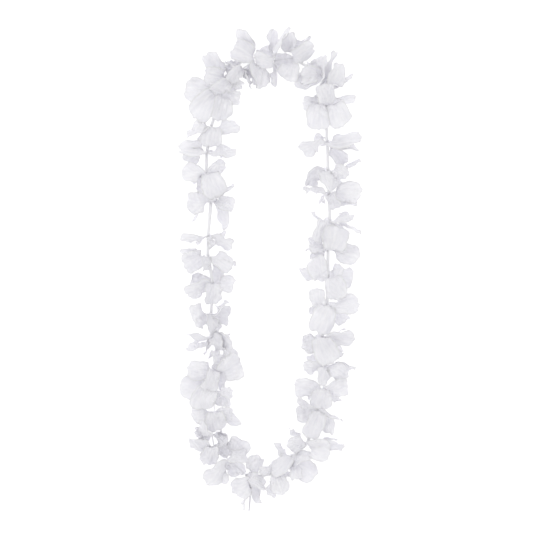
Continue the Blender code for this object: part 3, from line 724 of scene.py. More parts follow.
    def crossings(self, at: int, solid: Solid) -> int:
        """Counts what crosses a petal.

        Args:
            at: the petal's number.
            solid: the petal as it is tried.

        Returns:
            How many pairs of triangles cross, its own folds included. The cloth that it shares with
            its hub and with the petals beside it isn't counted.
        """
        i, k = self.keys[at]
        folds = solid.crossings(solid)
        total = np.count_nonzero(~self.joined[folds[:, 0], folds[:, 1]]) // 2
        near = np.all(solid.low <= self.high, axis=1) & np.all(solid.high >= self.low, axis=1)
        ways, cord, hub = self.strung.ways[i], self.strung.cords[i], self.strung.hubs[i]
        for number in np.nonzero(near)[0]:
            if number == at:
                continue
            other = self.solids[number]
            pairs = solid.crossings(other)
            j, kind = self.keys[number]
            if i == j and kind != "run":
                way, beside = ways[k], np.cross(cord, ways[k]) * math.tan(SLOT_ANGLE / 2)
                joints = (way, way + beside, way - beside) if kind == "hub" else (way + ways[kind],)
                for point in [hub + unit(joint) * self.strung.hub_radius for joint in joints]:
                    shared = solid.touching(pairs[:, 0], point, self.corner_reach)
                    shared &= other.touching(pairs[:, 1], point, self.corner_reach)
                    pairs = pairs[~shared]
            total += len(pairs)
        return total

    def improve(self, at: int) -> bool:
        """Bends one petal the way that crosses least.

        Args:
            at: the petal's number.

        Returns:
            Whether it changed.
        """
        key = self.keys[at]
        now = self.crossings(at, self.solids[at])
        if not now:
            return False
        best = None
        wanted = self.wanted[key]
        for cost, lift, swing, sign, over in self.choices:
            if best and cost >= best[0]:
                break
            rise = min(max(wanted.rise + lift, self.lowest), self.highest)
            petal = replace(wanted, rise=rise, bow=wanted.bow + swing, seen=wanted.seen * sign)
            bend = Bend(petal, over)
            solid = self.blade_solid(key, bend)
            count = self.crossings(at, solid)
            if best is None or count + cost < best[0]:
                best = count + cost, count, bend, solid
        if best[1] >= now:
            return False
        self.bent[key] = best[2]
        self.solids[at] = best[3]
        self.low[at], self.high[at] = best[3].low, best[3].high
        return True

    def run(self) -> dict[tuple[int, int], Bend]:
        """Goes round the lei until no petal changes.

        Returns:
            How each petal is bent.
        """
        for _ in range(self.rounds):
            if not sum([self.improve(at) for at in range(len(self.bent))]):
                break
        return self.bent


def add_node(
    tree: bpy.types.NodeTree, kind: str, sockets: dict[str | int, object], **settings: object
) -> bpy.types.Node:
    """Adds a node with its settings, values and links.

    Args:
        tree: the tree that gets the node.
        kind: the node's type.
        sockets: for each input, by name or number, a value or the output that feeds it.
        **settings: the node's own options.

    Returns:
        The node.
    """
    node = tree.nodes.new(kind)
    for name, value in settings.items():
        setattr(node, name, value)
    for key, value in sockets.items():
        if isinstance(value, bpy.types.NodeSocket):
            tree.links.new(value, node.inputs[key])
        else:
            node.inputs[key].default_value = value
    return node


def linear(code: str) -> tuple[float, float, float, float]:
    """The linear colour of an sRGB hex code such as #f0eff4."""
    parts = [int(code[at:at + 2], 16) / 255 for at in (1, 3, 5)]
    return (*(c / 12.92 if c <= 0.04045 else ((c + 0.055) / 1.055) ** 2.4 for c in parts), 1.0)


class NodeWork:
    """A node tree in the making."""

    def __init__(self, tree: bpy.types.NodeTree) -> None:
        """Keeps the tree."""
        self.tree = tree

    def add(self, kind: str, sockets: dict[str | int, object], **settings: object) -> bpy.types.Node:
        """Adds a node to the tree."""
        return add_node(self.tree, kind, sockets, **settings)

    def maths(self, operation: str, *values: object) -> bpy.types.NodeSocket:
        """Adds one step of arithmetic and returns its result."""
        return self.add("ShaderNodeMath", dict(enumerate(values)), operation=operation).outputs[0]


@dataclass(frozen=True)
class Grain:
    """The grain of a noise."""

    size: float  # The size of its largest patches
    detail: float = 2.0  # How many finer layers lie over them
    strength: float = 0.5  # How strong each layer is against the one before


class FinishTree(NodeWork):
    """A material in the making, with places that are the piece's own Object coordinates."""

    def __init__(self, name: str, values: dict[str, object]) -> None:
        """Starts the material.

        Args:
            name: the material's name.
            values: what the shader's own inputs are all over the piece.
        """
        self.material = bpy.data.materials.new(name)
        self.material.use_nodes = True
        super().__init__(self.material.node_tree)
        self.shader = self.tree.nodes["Principled BSDF"]
        for key, value in values.items():
            self.shader.inputs[key].default_value = value
        self.place = self.add("ShaderNodeTexCoord", {}).outputs["Object"]

    def noise(self, at: bpy.types.NodeSocket, grain: Grain) -> bpy.types.NodeSocket:
        """Adds a noise of this grain and returns its height."""
        layers = {"Detail": grain.detail, "Roughness": grain.strength}
        return self.add("ShaderNodeTexNoise", {"Vector": at, "Scale": 1 / grain.size} | layers).outputs["Fac"]

    def blend(self, share: bpy.types.NodeSocket, *ends: str | bpy.types.NodeSocket) -> bpy.types.NodeSocket:
        """Adds a mix of two colours.

        Args:
            share: how much of the second there is.
            *ends: the two colours, each a hex code or the output that gives it.

        Returns:
            The mixed colour.
        """
        first, second = (linear(end) if isinstance(end, str) else end for end in ends)
        mix = self.add("ShaderNodeMix", {"Factor": share, 6: first, 7: second}, data_type="RGBA")
        return mix.outputs[2]

    def levels(self, value: bpy.types.NodeSocket, *ends: float) -> bpy.types.NodeSocket:
        """Stretches a value, from its least and most given to those wanted, and returns it."""
        sockets = dict(zip(("From Min", "From Max", "To Min", "To Max"), ends))
        return self.add("ShaderNodeMapRange", {"Value": value} | sockets).outputs["Result"]

    def bump(
        self, height: bpy.types.NodeSocket, strength: float, depth: float, **over: bpy.types.NodeSocket
    ) -> bpy.types.NodeSocket:
        """Adds a bump, over another's Normal where there is one, and returns its normal."""
        sockets = {"Height": height, "Strength": strength, "Distance": depth} | over
        return self.add("ShaderNodeBump", sockets).outputs["Normal"]

    def close(self, inputs: dict[str, bpy.types.NodeSocket]) -> bpy.types.Material:
        """Ends the material.

        Args:
            inputs: the output that feeds each of these inputs of the shader.

        Returns:
            The finished material.
        """
        for key, output in inputs.items():
            self.tree.links.new(output, self.shader.inputs[key])
        return self.material


@dataclass(frozen=True)
class WovenPolyester:
    """White polyester taffeta, woven of fine smooth yarn and cut with a hot die.

    The plain weave is too fine to see from above and only softens the light. The yarn gives a faint
    sheen at grazing angles, fine wrinkles radiate from the gathered hub as a bump and as painted light and
    shade, soft light and dark streaks in the colour, the finish lets the cloth pick up warmer and cooler
    patches, and the hot cut leaves a denser edge.
    """

    yarn: float = 0.33 * MM  # The spacing of the yarns, about 30 to a centimetre
    yarn_waves: float = 0.5  # How close the waves that round the yarns lie
    yarn_slip: float = 0.4  # How unevenly the yarns lie
    yarn_height: float = 0.25  # How high they stand, as a share of their spacing
    weave_strength: float = 0.35  # How much of the weave shows
    flat_size: float = 72.0 * MM  # What the whole UV map measures
    middle: tuple[float, float, float] = (0.5, 0.5, 0.0)  # Where its middle is
    patches: Grain = Grain(14.0 * MM, 3.0, 0.55)  # The patches that are a little warmer or cooler
    # The least and the most of patches and wrinkles together that change the colour; the wrinkles' share is
    # painted light and shade along them
    shaded: tuple[float, float] = (0.75, 1.25)
    wrinkles_round: float = 8.0  # How many wrinkles a turn of one radian crosses
    wrinkle_length: float = 14.0 * MM  # How long they are
    wrinkle_depth: float = 0.35 * MM  # How deep they are
    wrinkle_strength: float = 0.6  # How much of them shows
    wrinkle_grain: Grain = Grain(1.0, 3.0, 0.6)  # Their grain, with their spacing as 1
    lit: str = "#f4f3f7"  # The cloth's own white, and the painted light side of the wrinkle streaks
    cool_and_streak_shade: str = "#e6e5ec"  # Its cooler patches, and the painted shade of the wrinkle streaks
    edge: str = "#e3e3e3"  # Its cut edge
    roughness: tuple[float, float] = (0.66, 0.78)  # The least and the most, of smooth filament yarn
    ior: float = 1.57  # Of polyester
    shine: float = 0.35  # How much the yarn mirrors
    sheen: float = 0.12  # How much light the fibres catch at a grazing angle
    glow: float = 0.62  # How much of the light goes through the yarn
    glow_depth: float = 1.0 * MM  # How far it spreads there

    def material(self) -> bpy.types.Material:
        """Builds the cloth's material.

        Returns:
            The material.
        """
        finish = FinishTree("woven_polyester_taffeta", {
            "IOR": self.ior, "Specular IOR Level": self.shine, "Sheen Weight": self.sheen,
            "Subsurface Weight": self.glow, "Subsurface Scale": self.glow_depth,
            "Subsurface Radius": EVEN_SPREAD,
        })
        flat = finish.add("ShaderNodeUVMap", {}, uv_map=FLAT_CUT).outputs["UV"]
        patches = finish.noise(finish.place, self.patches)
        wrinkles = self.wrinkles(finish, flat)
        # The patches give the cloth's own warmer and cooler tone; the wrinkles add painted light and shade,
        # soft light and dark streaks along them in the colour
        shade = finish.levels(finish.maths("ADD", patches, wrinkles), *self.shaded, 0.0, 1.0)
        tone = finish.blend(shade, self.lit, self.cool_and_streak_shade)
        cut = finish.add("ShaderNodeAttribute", {}, attribute_name=CUT_EDGE).outputs["Fac"]
        folded = finish.bump(wrinkles, self.wrinkle_strength, self.wrinkle_depth)
        return finish.close({
            "Base Color": finish.blend(cut, tone, self.edge),
            "Roughness": finish.levels(patches, 0.0, 1.0, *self.roughness),
            "Normal": self.weave(finish, flat, folded),
        })

    def wrinkles(self, finish: FinishTree, flat: bpy.types.NodeSocket) -> bpy.types.NodeSocket:
        """Adds the wrinkles, drawn round the middle of the flat cut.

        Args:
            finish: the material that gets them.
            flat: the places in the flat cut.

        Returns:
            Their height, which bumps the cloth and also paints light and dark streaks into its colour.
        """
        maths = "ShaderNodeVectorMath"
        out = finish.add(maths, {0: flat, 1: self.middle}, operation="SUBTRACT").outputs["Vector"]
        far = finish.add(maths, {0: out}, operation="LENGTH").outputs["Value"]
        way = finish.add(maths, {0: out}, operation="NORMALIZE").outputs["Vector"]
        ring = finish.add(maths, {0: way, "Scale": self.wrinkles_round}, operation="SCALE").outputs["Vector"]
        split = finish.add("ShaderNodeSeparateXYZ", {0: ring}).outputs
        along = finish.maths("MULTIPLY", far, self.flat_size / self.wrinkle_length)
        spot = finish.add("ShaderNodeCombineXYZ", {0: split[0], 1: split[1], 2: along})
        return finish.noise(spot.outputs[0], self.wrinkle_grain)

    def weave(
        self, finish: FinishTree, flat: bpy.types.NodeSocket, normal: bpy.types.NodeSocket
    ) -> bpy.types.NodeSocket:
        """Adds the plain weave as a bump over the wrinkles.

        Args:
            finish: the material that gets it.
            flat: the places in the flat cut.
            normal: the wrinkles' normal.

        Returns:
            The normal of both.
        """
        turns = self.flat_size / self.yarn
        times = {0: flat, 1: (turns, turns, 1.0)}
        scaled = finish.add("ShaderNodeVectorMath", times, operation="MULTIPLY").outputs["Vector"]
        yarns = finish.add("ShaderNodeTexChecker", {"Vector": scaled, "Scale": 1.0}).outputs["Fac"]
        waves = {"Vector": scaled, "Scale": self.yarn_waves, "Distortion": self.yarn_slip}
        warp, weft = (
            finish.add("ShaderNodeTexWave", waves, wave_type="BANDS", bands_direction=way).outputs["Fac"]
            for way in ("X", "Y")
        )
        over = finish.add("ShaderNodeMix", {"Factor": yarns, 2: warp, 3: weft}).outputs[0]
        return finish.bump(over, self.weave_strength, self.yarn * self.yarn_height, Normal=normal)


@dataclass(frozen=True)
class PolyethyleneTube:
    """Milky white low-density polyethylene, extruded as a thin tube and cut to short lengths.

    Light goes a little way in and comes out again, so the tube looks soft and a little greyer than
    the cloth, with fine marks of the extrusion and a dull waxy shine.
    """

    body: str = "#fbfbfc"  # The plastic's white
    shade: str = "#f2f2f4"  # Its denser patches
    patches: Grain = Grain(5.0 * MM)  # The denser patches' grain
    marks: Grain = Grain(0.5 * MM, 1.0)  # The grain of the marks
    mark_depth: float = 0.03 * MM  # How deep they are
    mark_strength: float = 0.25  # How much of them shows
    roughness: tuple[float, float] = (0.28, 0.46)  # The least and the most, of a waxy extruded surface
    ior: float = 1.51  # Of polyethylene
    milkiness: float = 0.4  # How much of the light goes in
    depth: float = 0.8 * MM  # How far it goes in

    def material(self) -> bpy.types.Material:
        """Builds the tubes' material.

        Returns:
            The material.
        """
        finish = FinishTree("extruded_polyethylene", {
            "IOR": self.ior, "Subsurface Weight": self.milkiness, "Subsurface Scale": self.depth,
            "Subsurface Radius": EVEN_SPREAD,
        })
        marks = finish.noise(finish.place, self.marks)
        return finish.close({
            "Base Color": finish.blend(finish.noise(finish.place, self.patches), self.body, self.shade),
            "Roughness": finish.levels(marks, 0.0, 1.0, *self.roughness),
            "Normal": finish.bump(marks, self.mark_strength, self.mark_depth),
        })


@dataclass(frozen=True)
class SpunThread:
    """White spun polyester sewing thread, three plies twisted together.

    Short fibres make it dull and a little fuzzy, so it scatters light almost evenly and its plies
    show only as soft slanting ridges.
    """

    body: str = "#eeedf1"  # The fibres' white
    valley: str = "#dddde1"  # The shaded fibres between them
    fibres: Grain = Grain(0.3 * MM, 2.0, 0.6)  # The grain of the fibres
    fibre_depth: float = 0.05 * MM  # How deep they lie
    fibre_strength: float = 0.5  # How much of them shows
    roughness: float = 0.85  # Of spun fibre
    ior: float = 1.57  # Of polyester
    sheen: float = 0.3  # How much light the loose fibres catch

    def material(self) -> bpy.types.Material:
        """Builds the thread's material.

        Returns:
            The material.
        """
        values = {"Roughness": self.roughness, "IOR": self.ior, "Sheen Weight": self.sheen}
        finish = FinishTree("spun_polyester_thread", values)
        fibres = finish.noise(finish.place, self.fibres)
        return finish.close({
            "Base Color": finish.blend(fibres, self.body, self.valley),
            "Normal": finish.bump(fibres, self.fibre_strength, self.fibre_depth),
        })


@dataclass(frozen=True)
class PaleFloor:
    """Matt white acrylic lit from below, as a light table for pictures on pure white.

    It glows evenly, so that the lei throws next to no shadow on it, and it has no shine.
    """

    board: str = "#cccccc"  # Its white
    mottle: str = "#c8c8c9"  # Its slightly darker patches
    patches: Grain = Grain(0.4)  # The grain of the patches
    roughness: float = 1.0  # Of a sanded board
    shine: float = 0.0  # How much it mirrors
    glow: float = 0.72  # How strongly it is lit from below

    def material(self) -> bpy.types.Material:
        """Builds the floor's material.

        Returns:
            The material.
        """
        finish = FinishTree("matt_opal_acrylic", {
            "Roughness": self.roughness, "Specular IOR Level": self.shine,
            "Emission Color": WHITE, "Emission Strength": self.glow,
        })
        patches = finish.noise(finish.place, self.patches)
        return finish.close({"Base Color": finish.blend(patches, self.board, self.mottle)})


class PathTree(NodeWork):
    """A geometry tree in the making, with named inputs, that draws something along lines."""

    def __init__(self, name: str, floats: str, integers: str) -> None:
        """Starts the tree, whose last input is the material.

        Args:
            name: the tree's name.
            floats: the names of its inputs for sizes, one after another.
            integers: the names of those for numbers of things.
        """
        super().__init__(bpy.data.node_groups.new(name, "GeometryNodeTree"))
        kinds = {label: "NodeSocketFloat" for label in floats.split(", ")}
        kinds |= {label: "NodeSocketInt" for label in integers.split(", ")}
        ports = self.tree.interface
        ports.new_socket("Geometry", in_out="INPUT", socket_type="NodeSocketGeometry")
        ports.new_socket("Geometry", in_out="OUTPUT", socket_type="NodeSocketGeometry")
        for label, kind in (kinds | {"Material": "NodeSocketMaterial"}).items():
            ports.new_socket(label, in_out="INPUT", socket_type=kind)
        self.given = self.add("NodeGroupInput", {}).outputs

    def line(self, by: str, amount: bpy.types.NodeSocket) -> bpy.types.NodeSocket:
        """Adds the lines as curves, sampled by Count or by Length, and returns them."""
        curve = self.add("GeometryNodeMeshToCurve", {0: self.given["Geometry"]}).outputs[0]
        return self.add("GeometryNodeResampleCurve", {"Curve": curve, by: amount}, mode=by.upper()).outputs[0]

    def ring(self, corners: str, radius: str) -> bpy.types.NodeSocket:
        """Adds a ring with these two inputs as its number of corners and radius, and returns it."""
        sockets = {"Resolution": self.given[corners], "Radius": self.given[radius]}
        return self.add("GeometryNodeCurvePrimitiveCircle", sockets).outputs["Curve"]

    def close(self, curve: bpy.types.NodeSocket, profile: bpy.types.NodeSocket, capped: bool) -> None:
        """Ends the tree with real meshes and their material.

        Args:
            curve: the curves that get a skin.
            profile: the skin's profile.
            capped: whether its ends are closed.
        """
        sockets = {"Curve": curve, "Profile Curve": profile, "Fill Caps": capped}
        skin = self.add("GeometryNodeCurveToMesh", sockets).outputs[0]
        smoothed = self.add("GeometryNodeSetShadeSmooth", {0: skin}).outputs[0]
        real = self.add("GeometryNodeRealizeInstances", {0: smoothed}).outputs[0]
        dressed = self.add("GeometryNodeSetMaterial", {0: real, "Material": self.given["Material"]})
        self.add("NodeGroupOutput", {0: dressed.outputs[0]})

    def bake(self, name: str, source: bpy.types.Mesh, values: dict[str, object]) -> bpy.types.Object:
        """Runs the tree on a mesh.

        Args:
            name: the new piece's name.
            source: the mesh that the tree works on.
            values: a value for each named input.

        Returns:
            The result as an object with a plain mesh and no modifier.
        """
        carrier = new_object(name + "_path", source)
        modifier = carrier.modifiers.new("nodes", "NODES")
        modifier.node_group = self.tree
        for port in self.tree.interface.items_tree:
            if port.in_out == "INPUT" and port.name in values:
                modifier[port.identifier] = values[port.name]
        graph = bpy.context.evaluated_depsgraph_get()
        mesh = bpy.data.meshes.new_from_object(carrier.evaluated_get(graph))
        bpy.data.objects.remove(carrier)
        return new_object(name, mesh)


def new_object(name: str, mesh: bpy.types.Mesh) -> bpy.types.Object:
    """Puts a mesh into the scene.

    Args:
        name: the name that the object and the mesh get.
        mesh: the mesh.

    Returns:
        The object that shows it.
    """
    mesh.name = name
    made = bpy.data.objects.new(name, mesh)
    bpy.context.scene.collection.objects.link(made)
    return made


def line_mesh(name: str, lines: list[np.ndarray], closed: bool = False) -> bpy.types.Mesh:
    """A mesh of bare edges.

    Args:
        name: its name.
        lines: the points that each line runs through.
        closed: whether each line ends where it starts.

    Returns:
        The mesh.
    """
    mesh = bpy.data.meshes.new(name)
    edges, base = [], 0
    for line in lines:
        count = len(line)
        edges += [(base + n, base + n + 1) for n in range(count - 1)]
        if closed:
            edges.append((base + count - 1, base))
        base += count
    mesh.from_pydata(np.vstack(lines).tolist(), edges, [])
    return mesh


def place(piece: bpy.types.Object, nodes: list[str]) -> None:
    """Lets a piece ride on the lei and reports it.

    Args:
        piece: the finished piece.
        nodes: the solids that it stands for.
    """
    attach(piece, BODY)
    if nodes:
        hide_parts(*nodes)
    solids = ", ".join(nodes) or "nothing"
    log.info("%s: %d faces, stands for %s", piece.name, len(piece.data.polygons), solids)


@dataclass(frozen=True)
class DieCut:
    """The flat petal as the hot die cuts it, frayed a little. Shares are of its length or half width."""

    # Where its half widths are known, up to its widest place
    known_at: tuple[float, ...] = (0.0, 0.12, 0.3, 0.48, 0.7)
    # Its half widths there, as a share of the greatest
    known: tuple[float, ...] = (0.4, 0.62, 0.86, 0.96, 1.0)
    lobe_power: float = 2.3  # How square its end is
    side_ends_at: float = 0.86  # Where its sides stop and its end starts
    side_wander: float = 0.035  # How much a side wanders in and out
    side_waves: tuple[float, float] = (10.0, 23.0)  # How fast it does, in radians a length, coarse and fine
    end_wander: float = 0.012  # How much the end does
    end_waves: tuple[float, float] = (7.0, 17.0)  # How fast, in radians a half width, coarse and fine
    fine_wave: float = 0.6  # How strong the fine wave is against the coarse one
    loss_from: float = 0.7  # Where cloth that is missing at the end starts to pull the rest in
    notch: float = 0.07  # How deep a notched end's notch is
    notch_width: float = 0.16  # How wide it is
    notch_off: float = 0.2  # How far off the middle it may lie
    nibble: float = 0.032  # How deep the notches of a nibbled end are
    nibble_width: float = 0.13  # How wide they are
    # The first and last place of each
    nibble_spots: tuple[tuple[float, float], ...] = ((-0.6, -0.1), (0.1, 0.6))
    scallop: float = 0.015  # How deep the scallops of a scalloped end are
    scallops: float = 9.0  # How fast they follow each other, in radians a half width

    def half_width(self, along: np.ndarray) -> np.ndarray:
        """How wide the petal is.

        Args:
            along: places along it.

        Returns:
            Its half widths there, as a share of the greatest.
        """
        widest = self.known_at[-1]
        body = through(np.minimum(along, widest), self.known_at, self.known)
        past = np.clip((along - widest) / (1 - widest), 0, 1)
        lobe = np.maximum(1 - past**self.lobe_power, 0) ** (1 / self.lobe_power)
        return np.where(along < widest, body, self.known[-1] * lobe)

    def end_row(self, v: np.ndarray) -> np.ndarray:
        """Where the petal's end lies.

        Args:
            v: places across it, from -1 to 1.

        Returns:
            How far along the petal its end lies there.
        """
        widest = self.known_at[-1]
        share = np.abs(v) * self.half_width(np.array(self.side_ends_at)) / self.known[-1]
        return widest + (1 - widest) * (1 - share**self.lobe_power) ** (1 / self.lobe_power)

    def wander(self, at: np.ndarray, waves: tuple[float, float], phases: tuple) -> np.ndarray:
        """A coarse wave and a fine one on it, from where each of them starts."""
        return np.sin(waves[0] * at + phases[0]) + self.fine_wave * np.sin(waves[1] * at + phases[1])

    def missing(self, cut: TipCut, v: np.ndarray, random: np.random.Generator) -> np.ndarray:
        """How much of the petal's length is missing.

        Args:
            cut: how the end is cut.
            v: the places across it, from -1 to 1.
            random: where its random numbers come from.

        Returns:
            Shares of the petal's length, at each place.
        """
        if cut is TipCut.NOTCHED:
            spot = random.uniform(-self.notch_off, self.notch_off)
            return self.notch * np.exp(-(((v - spot) / self.notch_width) ** 2))
        if cut is TipCut.NIBBLED:
            spots = random.uniform(*zip(*self.nibble_spots))
            return self.nibble * sum(np.exp(-(((v - spot) / self.nibble_width) ** 2)) for spot in spots)
        if cut is TipCut.SCALLOPED:
            return self.scallop * (1 + np.sin(self.scallops * v + random.uniform(0, 2 * math.pi)))
        return np.zeros_like(v)

    def lay(self, u: np.ndarray, v: np.ndarray, random: np.random.Generator) -> tuple[np.ndarray, np.ndarray]:
        """Cuts one petal.

        Args:
            u: its points' places from its root at 0 to its end at 1.
            v: their places across it, from -1 to 1.
            random: where its random numbers come from.

        Returns:
            Where each point lies along the petal, and its half width there.
        """
        cut = list(TipCut)[random.integers(len(TipCut))]
        phases = random.uniform(0, 2 * math.pi, 6)
        missing = self.missing(cut, v, random)
        missing += self.end_wander * (1 + self.wander(v, self.end_waves, phases[:2]))
        along = u * self.end_row(v) * (1 - missing * smooth((u - self.loss_from) / (1 - self.loss_from)))
        side = (v > 0).astype(int)
        wander = self.wander(u, self.side_waves, (phases[2 + side], phases[4 + side]))
        return along, self.half_width(u * self.side_ends_at) * (1 + self.side_wander * wander * v**2)


@dataclass(frozen=True)
class Crumpling:
    """How far the cloth stands off its smooth bend: pleats, a curling edge, creases and folds."""

    pleat_width: float = 4.2 * MM  # The width of a pleat at the petal's widest
    pleat_depth: float = 0.34 * MM  # How far a pleat stands off
    pleated: tuple[float, float] = (0.15, 1.0)  # The least and the most of that depth that a petal has
    pleat_sway: float = 0.12  # How far the pleats sway sideways
    sway_rate: float = 3.0  # How fast, in radians a petal's length
    fine_pleats: tuple[float, float] = (2.0, 3.7)  # How many pleats there are, coarse and fine
    fine_pleat: float = 0.45  # How strong the fine ones are against the coarse ones
    pleats_full: float = 0.22  # Where the pleats are full
    pleats_fade: float = 0.5  # From where on they fade
    pleats_left: float = 0.5  # How much is left of them at the end
    ruffle_depth: float = 1.3 * MM  # How far the cut edge curls off
    ruffles: tuple[int, int] = (3, 6)  # The least number of its waves, and the one that it stays under
    fine_ruffle: float = 0.5  # How strong its finer waves are
    ruffle_middle: float = 0.45  # The place along the petal that the waves run round
    ruffle_from: float = 0.5  # How near the edge the waves start
    end_from: float = 0.4  # Where the end's margin starts
    margin_power: float = 4.0  # How square the margin is
    ruffle_full: float = 0.35  # Where along the petal the waves are full
    crease_depth: float = 0.28 * MM  # How far a random crease stands off
    crease_lengths: tuple[float, float] = (6.0 * MM, 18.0 * MM)  # The shortest and longest random crease
    creases: int = 4  # How many cross each petal
    folds: int = 4  # How many sharp folds from the packing cross it
    fold_depth: float = 0.55 * MM  # How far a sharp fold stands off
    fold_width: float = 3.2 * MM  # How far its sides reach
    # The first place of a fold's middle, along the petal and across it
    fold_from: tuple[float, float] = (0.25, -0.5)
    fold_to: tuple[float, float] = (0.9, 0.5)  # Its last place
    loose_full: float = 0.25  # Where along the petal creases and folds are full

    def pleats(self, u: np.ndarray, v: np.ndarray, width: float, phases: np.ndarray) -> np.ndarray:
        """The pleats that radiate from the hub.

        Args:
            u: the points' places along the petal.
            v: their places across it.
            width: the petal's full width.
            phases: where the sway and the two waves start.

        Returns:
            Their height, as a share of the depth.
        """
        turns = math.pi * width / (2 * self.pleat_width)
        coarse, fine = (turns * count for count in self.fine_pleats)
        sway = self.pleat_sway * np.sin(self.sway_rate * u + phases[0])
        pleats = np.sin(coarse * (v + sway) + phases[1])
        pleats += self.fine_pleat * np.sin(fine * (v - sway) + phases[2])
        faded = smooth((u - self.pleats_fade) / (1 - self.pleats_fade))
        return pleats * smooth(u / self.pleats_full) * (1 - (1 - self.pleats_left) * faded)

    def ruffle(self, u: np.ndarray, v: np.ndarray, waves: int, phases: np.ndarray) -> np.ndarray:
        """The waves of the cut edge.

        Args:
            u: the points' places along the petal.
            v: their places across it.
            waves: how many waves there are.
            phases: where the coarse and the fine waves start.

        Returns:
            Their height, as a share of the depth.
        """
        end = np.maximum((u - self.end_from) / (1 - self.end_from), 0)
        margin = (np.abs(v) ** self.margin_power + end**self.margin_power) ** (1 / self.margin_power)
        turn = np.arctan2(v, (u - self.ruffle_middle) * 2)
        ruffle = np.sin(waves * turn + phases[0])
        ruffle += self.fine_ruffle * np.sin((2 * waves + 1) * turn + phases[1])
        near = smooth((margin - self.ruffle_from) / (1 - self.ruffle_from)) ** 2
        return ruffle * near * smooth(u / self.ruffle_full)

    def loose(self, spots: np.ndarray, size: tuple[float, float], random: np.random.Generator) -> np.ndarray:
        """The creases and sharp folds that the packing has left.

        Args:
            spots: the points' places in the flat petal, in metres.
            size: the petal's length and half width.
            random: where its random numbers come from.

        Returns:
            Their height, in metres.
        """
        creases, folds = np.zeros(len(spots)), np.zeros(len(spots))
        for _ in range(self.creases):
            heading, phase = random.uniform(0, 2 * math.pi, 2)
            length = random.uniform(*self.crease_lengths)
            creases += np.sin(spots @ (math.cos(heading), math.sin(heading)) * 2 * math.pi / length + phase)
        for _ in range(self.folds):
            heading = random.uniform(0, math.pi)
            middle = random.uniform(self.fold_from, self.fold_to) * size
            off = np.abs((spots - middle) @ (math.cos(heading), math.sin(heading)))
            folds += random.choice((-1, 1)) * np.exp(-off / self.fold_width)
        return self.crease_depth * creases + self.fold_depth * folds

    def heights(
        self,
        u: np.ndarray,
        v: np.ndarray,
        spots: np.ndarray,
        size: tuple[float, float],
        random: np.random.Generator,
    ) -> np.ndarray:
        """How far the cloth stands off.

        Args:
            u: the points' places along the petal.
            v: their places across it.
            spots: their places in the flat petal, in metres.
            size: the petal's length and half width.
            random: where its random numbers come from.

        Returns:
            The heights, in metres.
        """
        phases = random.uniform(0, 2 * math.pi, 5)
        pleat_depth = self.pleat_depth * random.uniform(*self.pleated)
        ruffle = self.ruffle(u, v, int(random.integers(*self.ruffles)), phases[3:])
        loose = self.loose(spots, size, random) * smooth(u / self.loose_full)
        return pleat_depth * self.pleats(u, v, 2 * size[1], phases[:3]) + self.ruffle_depth * ruffle + loose


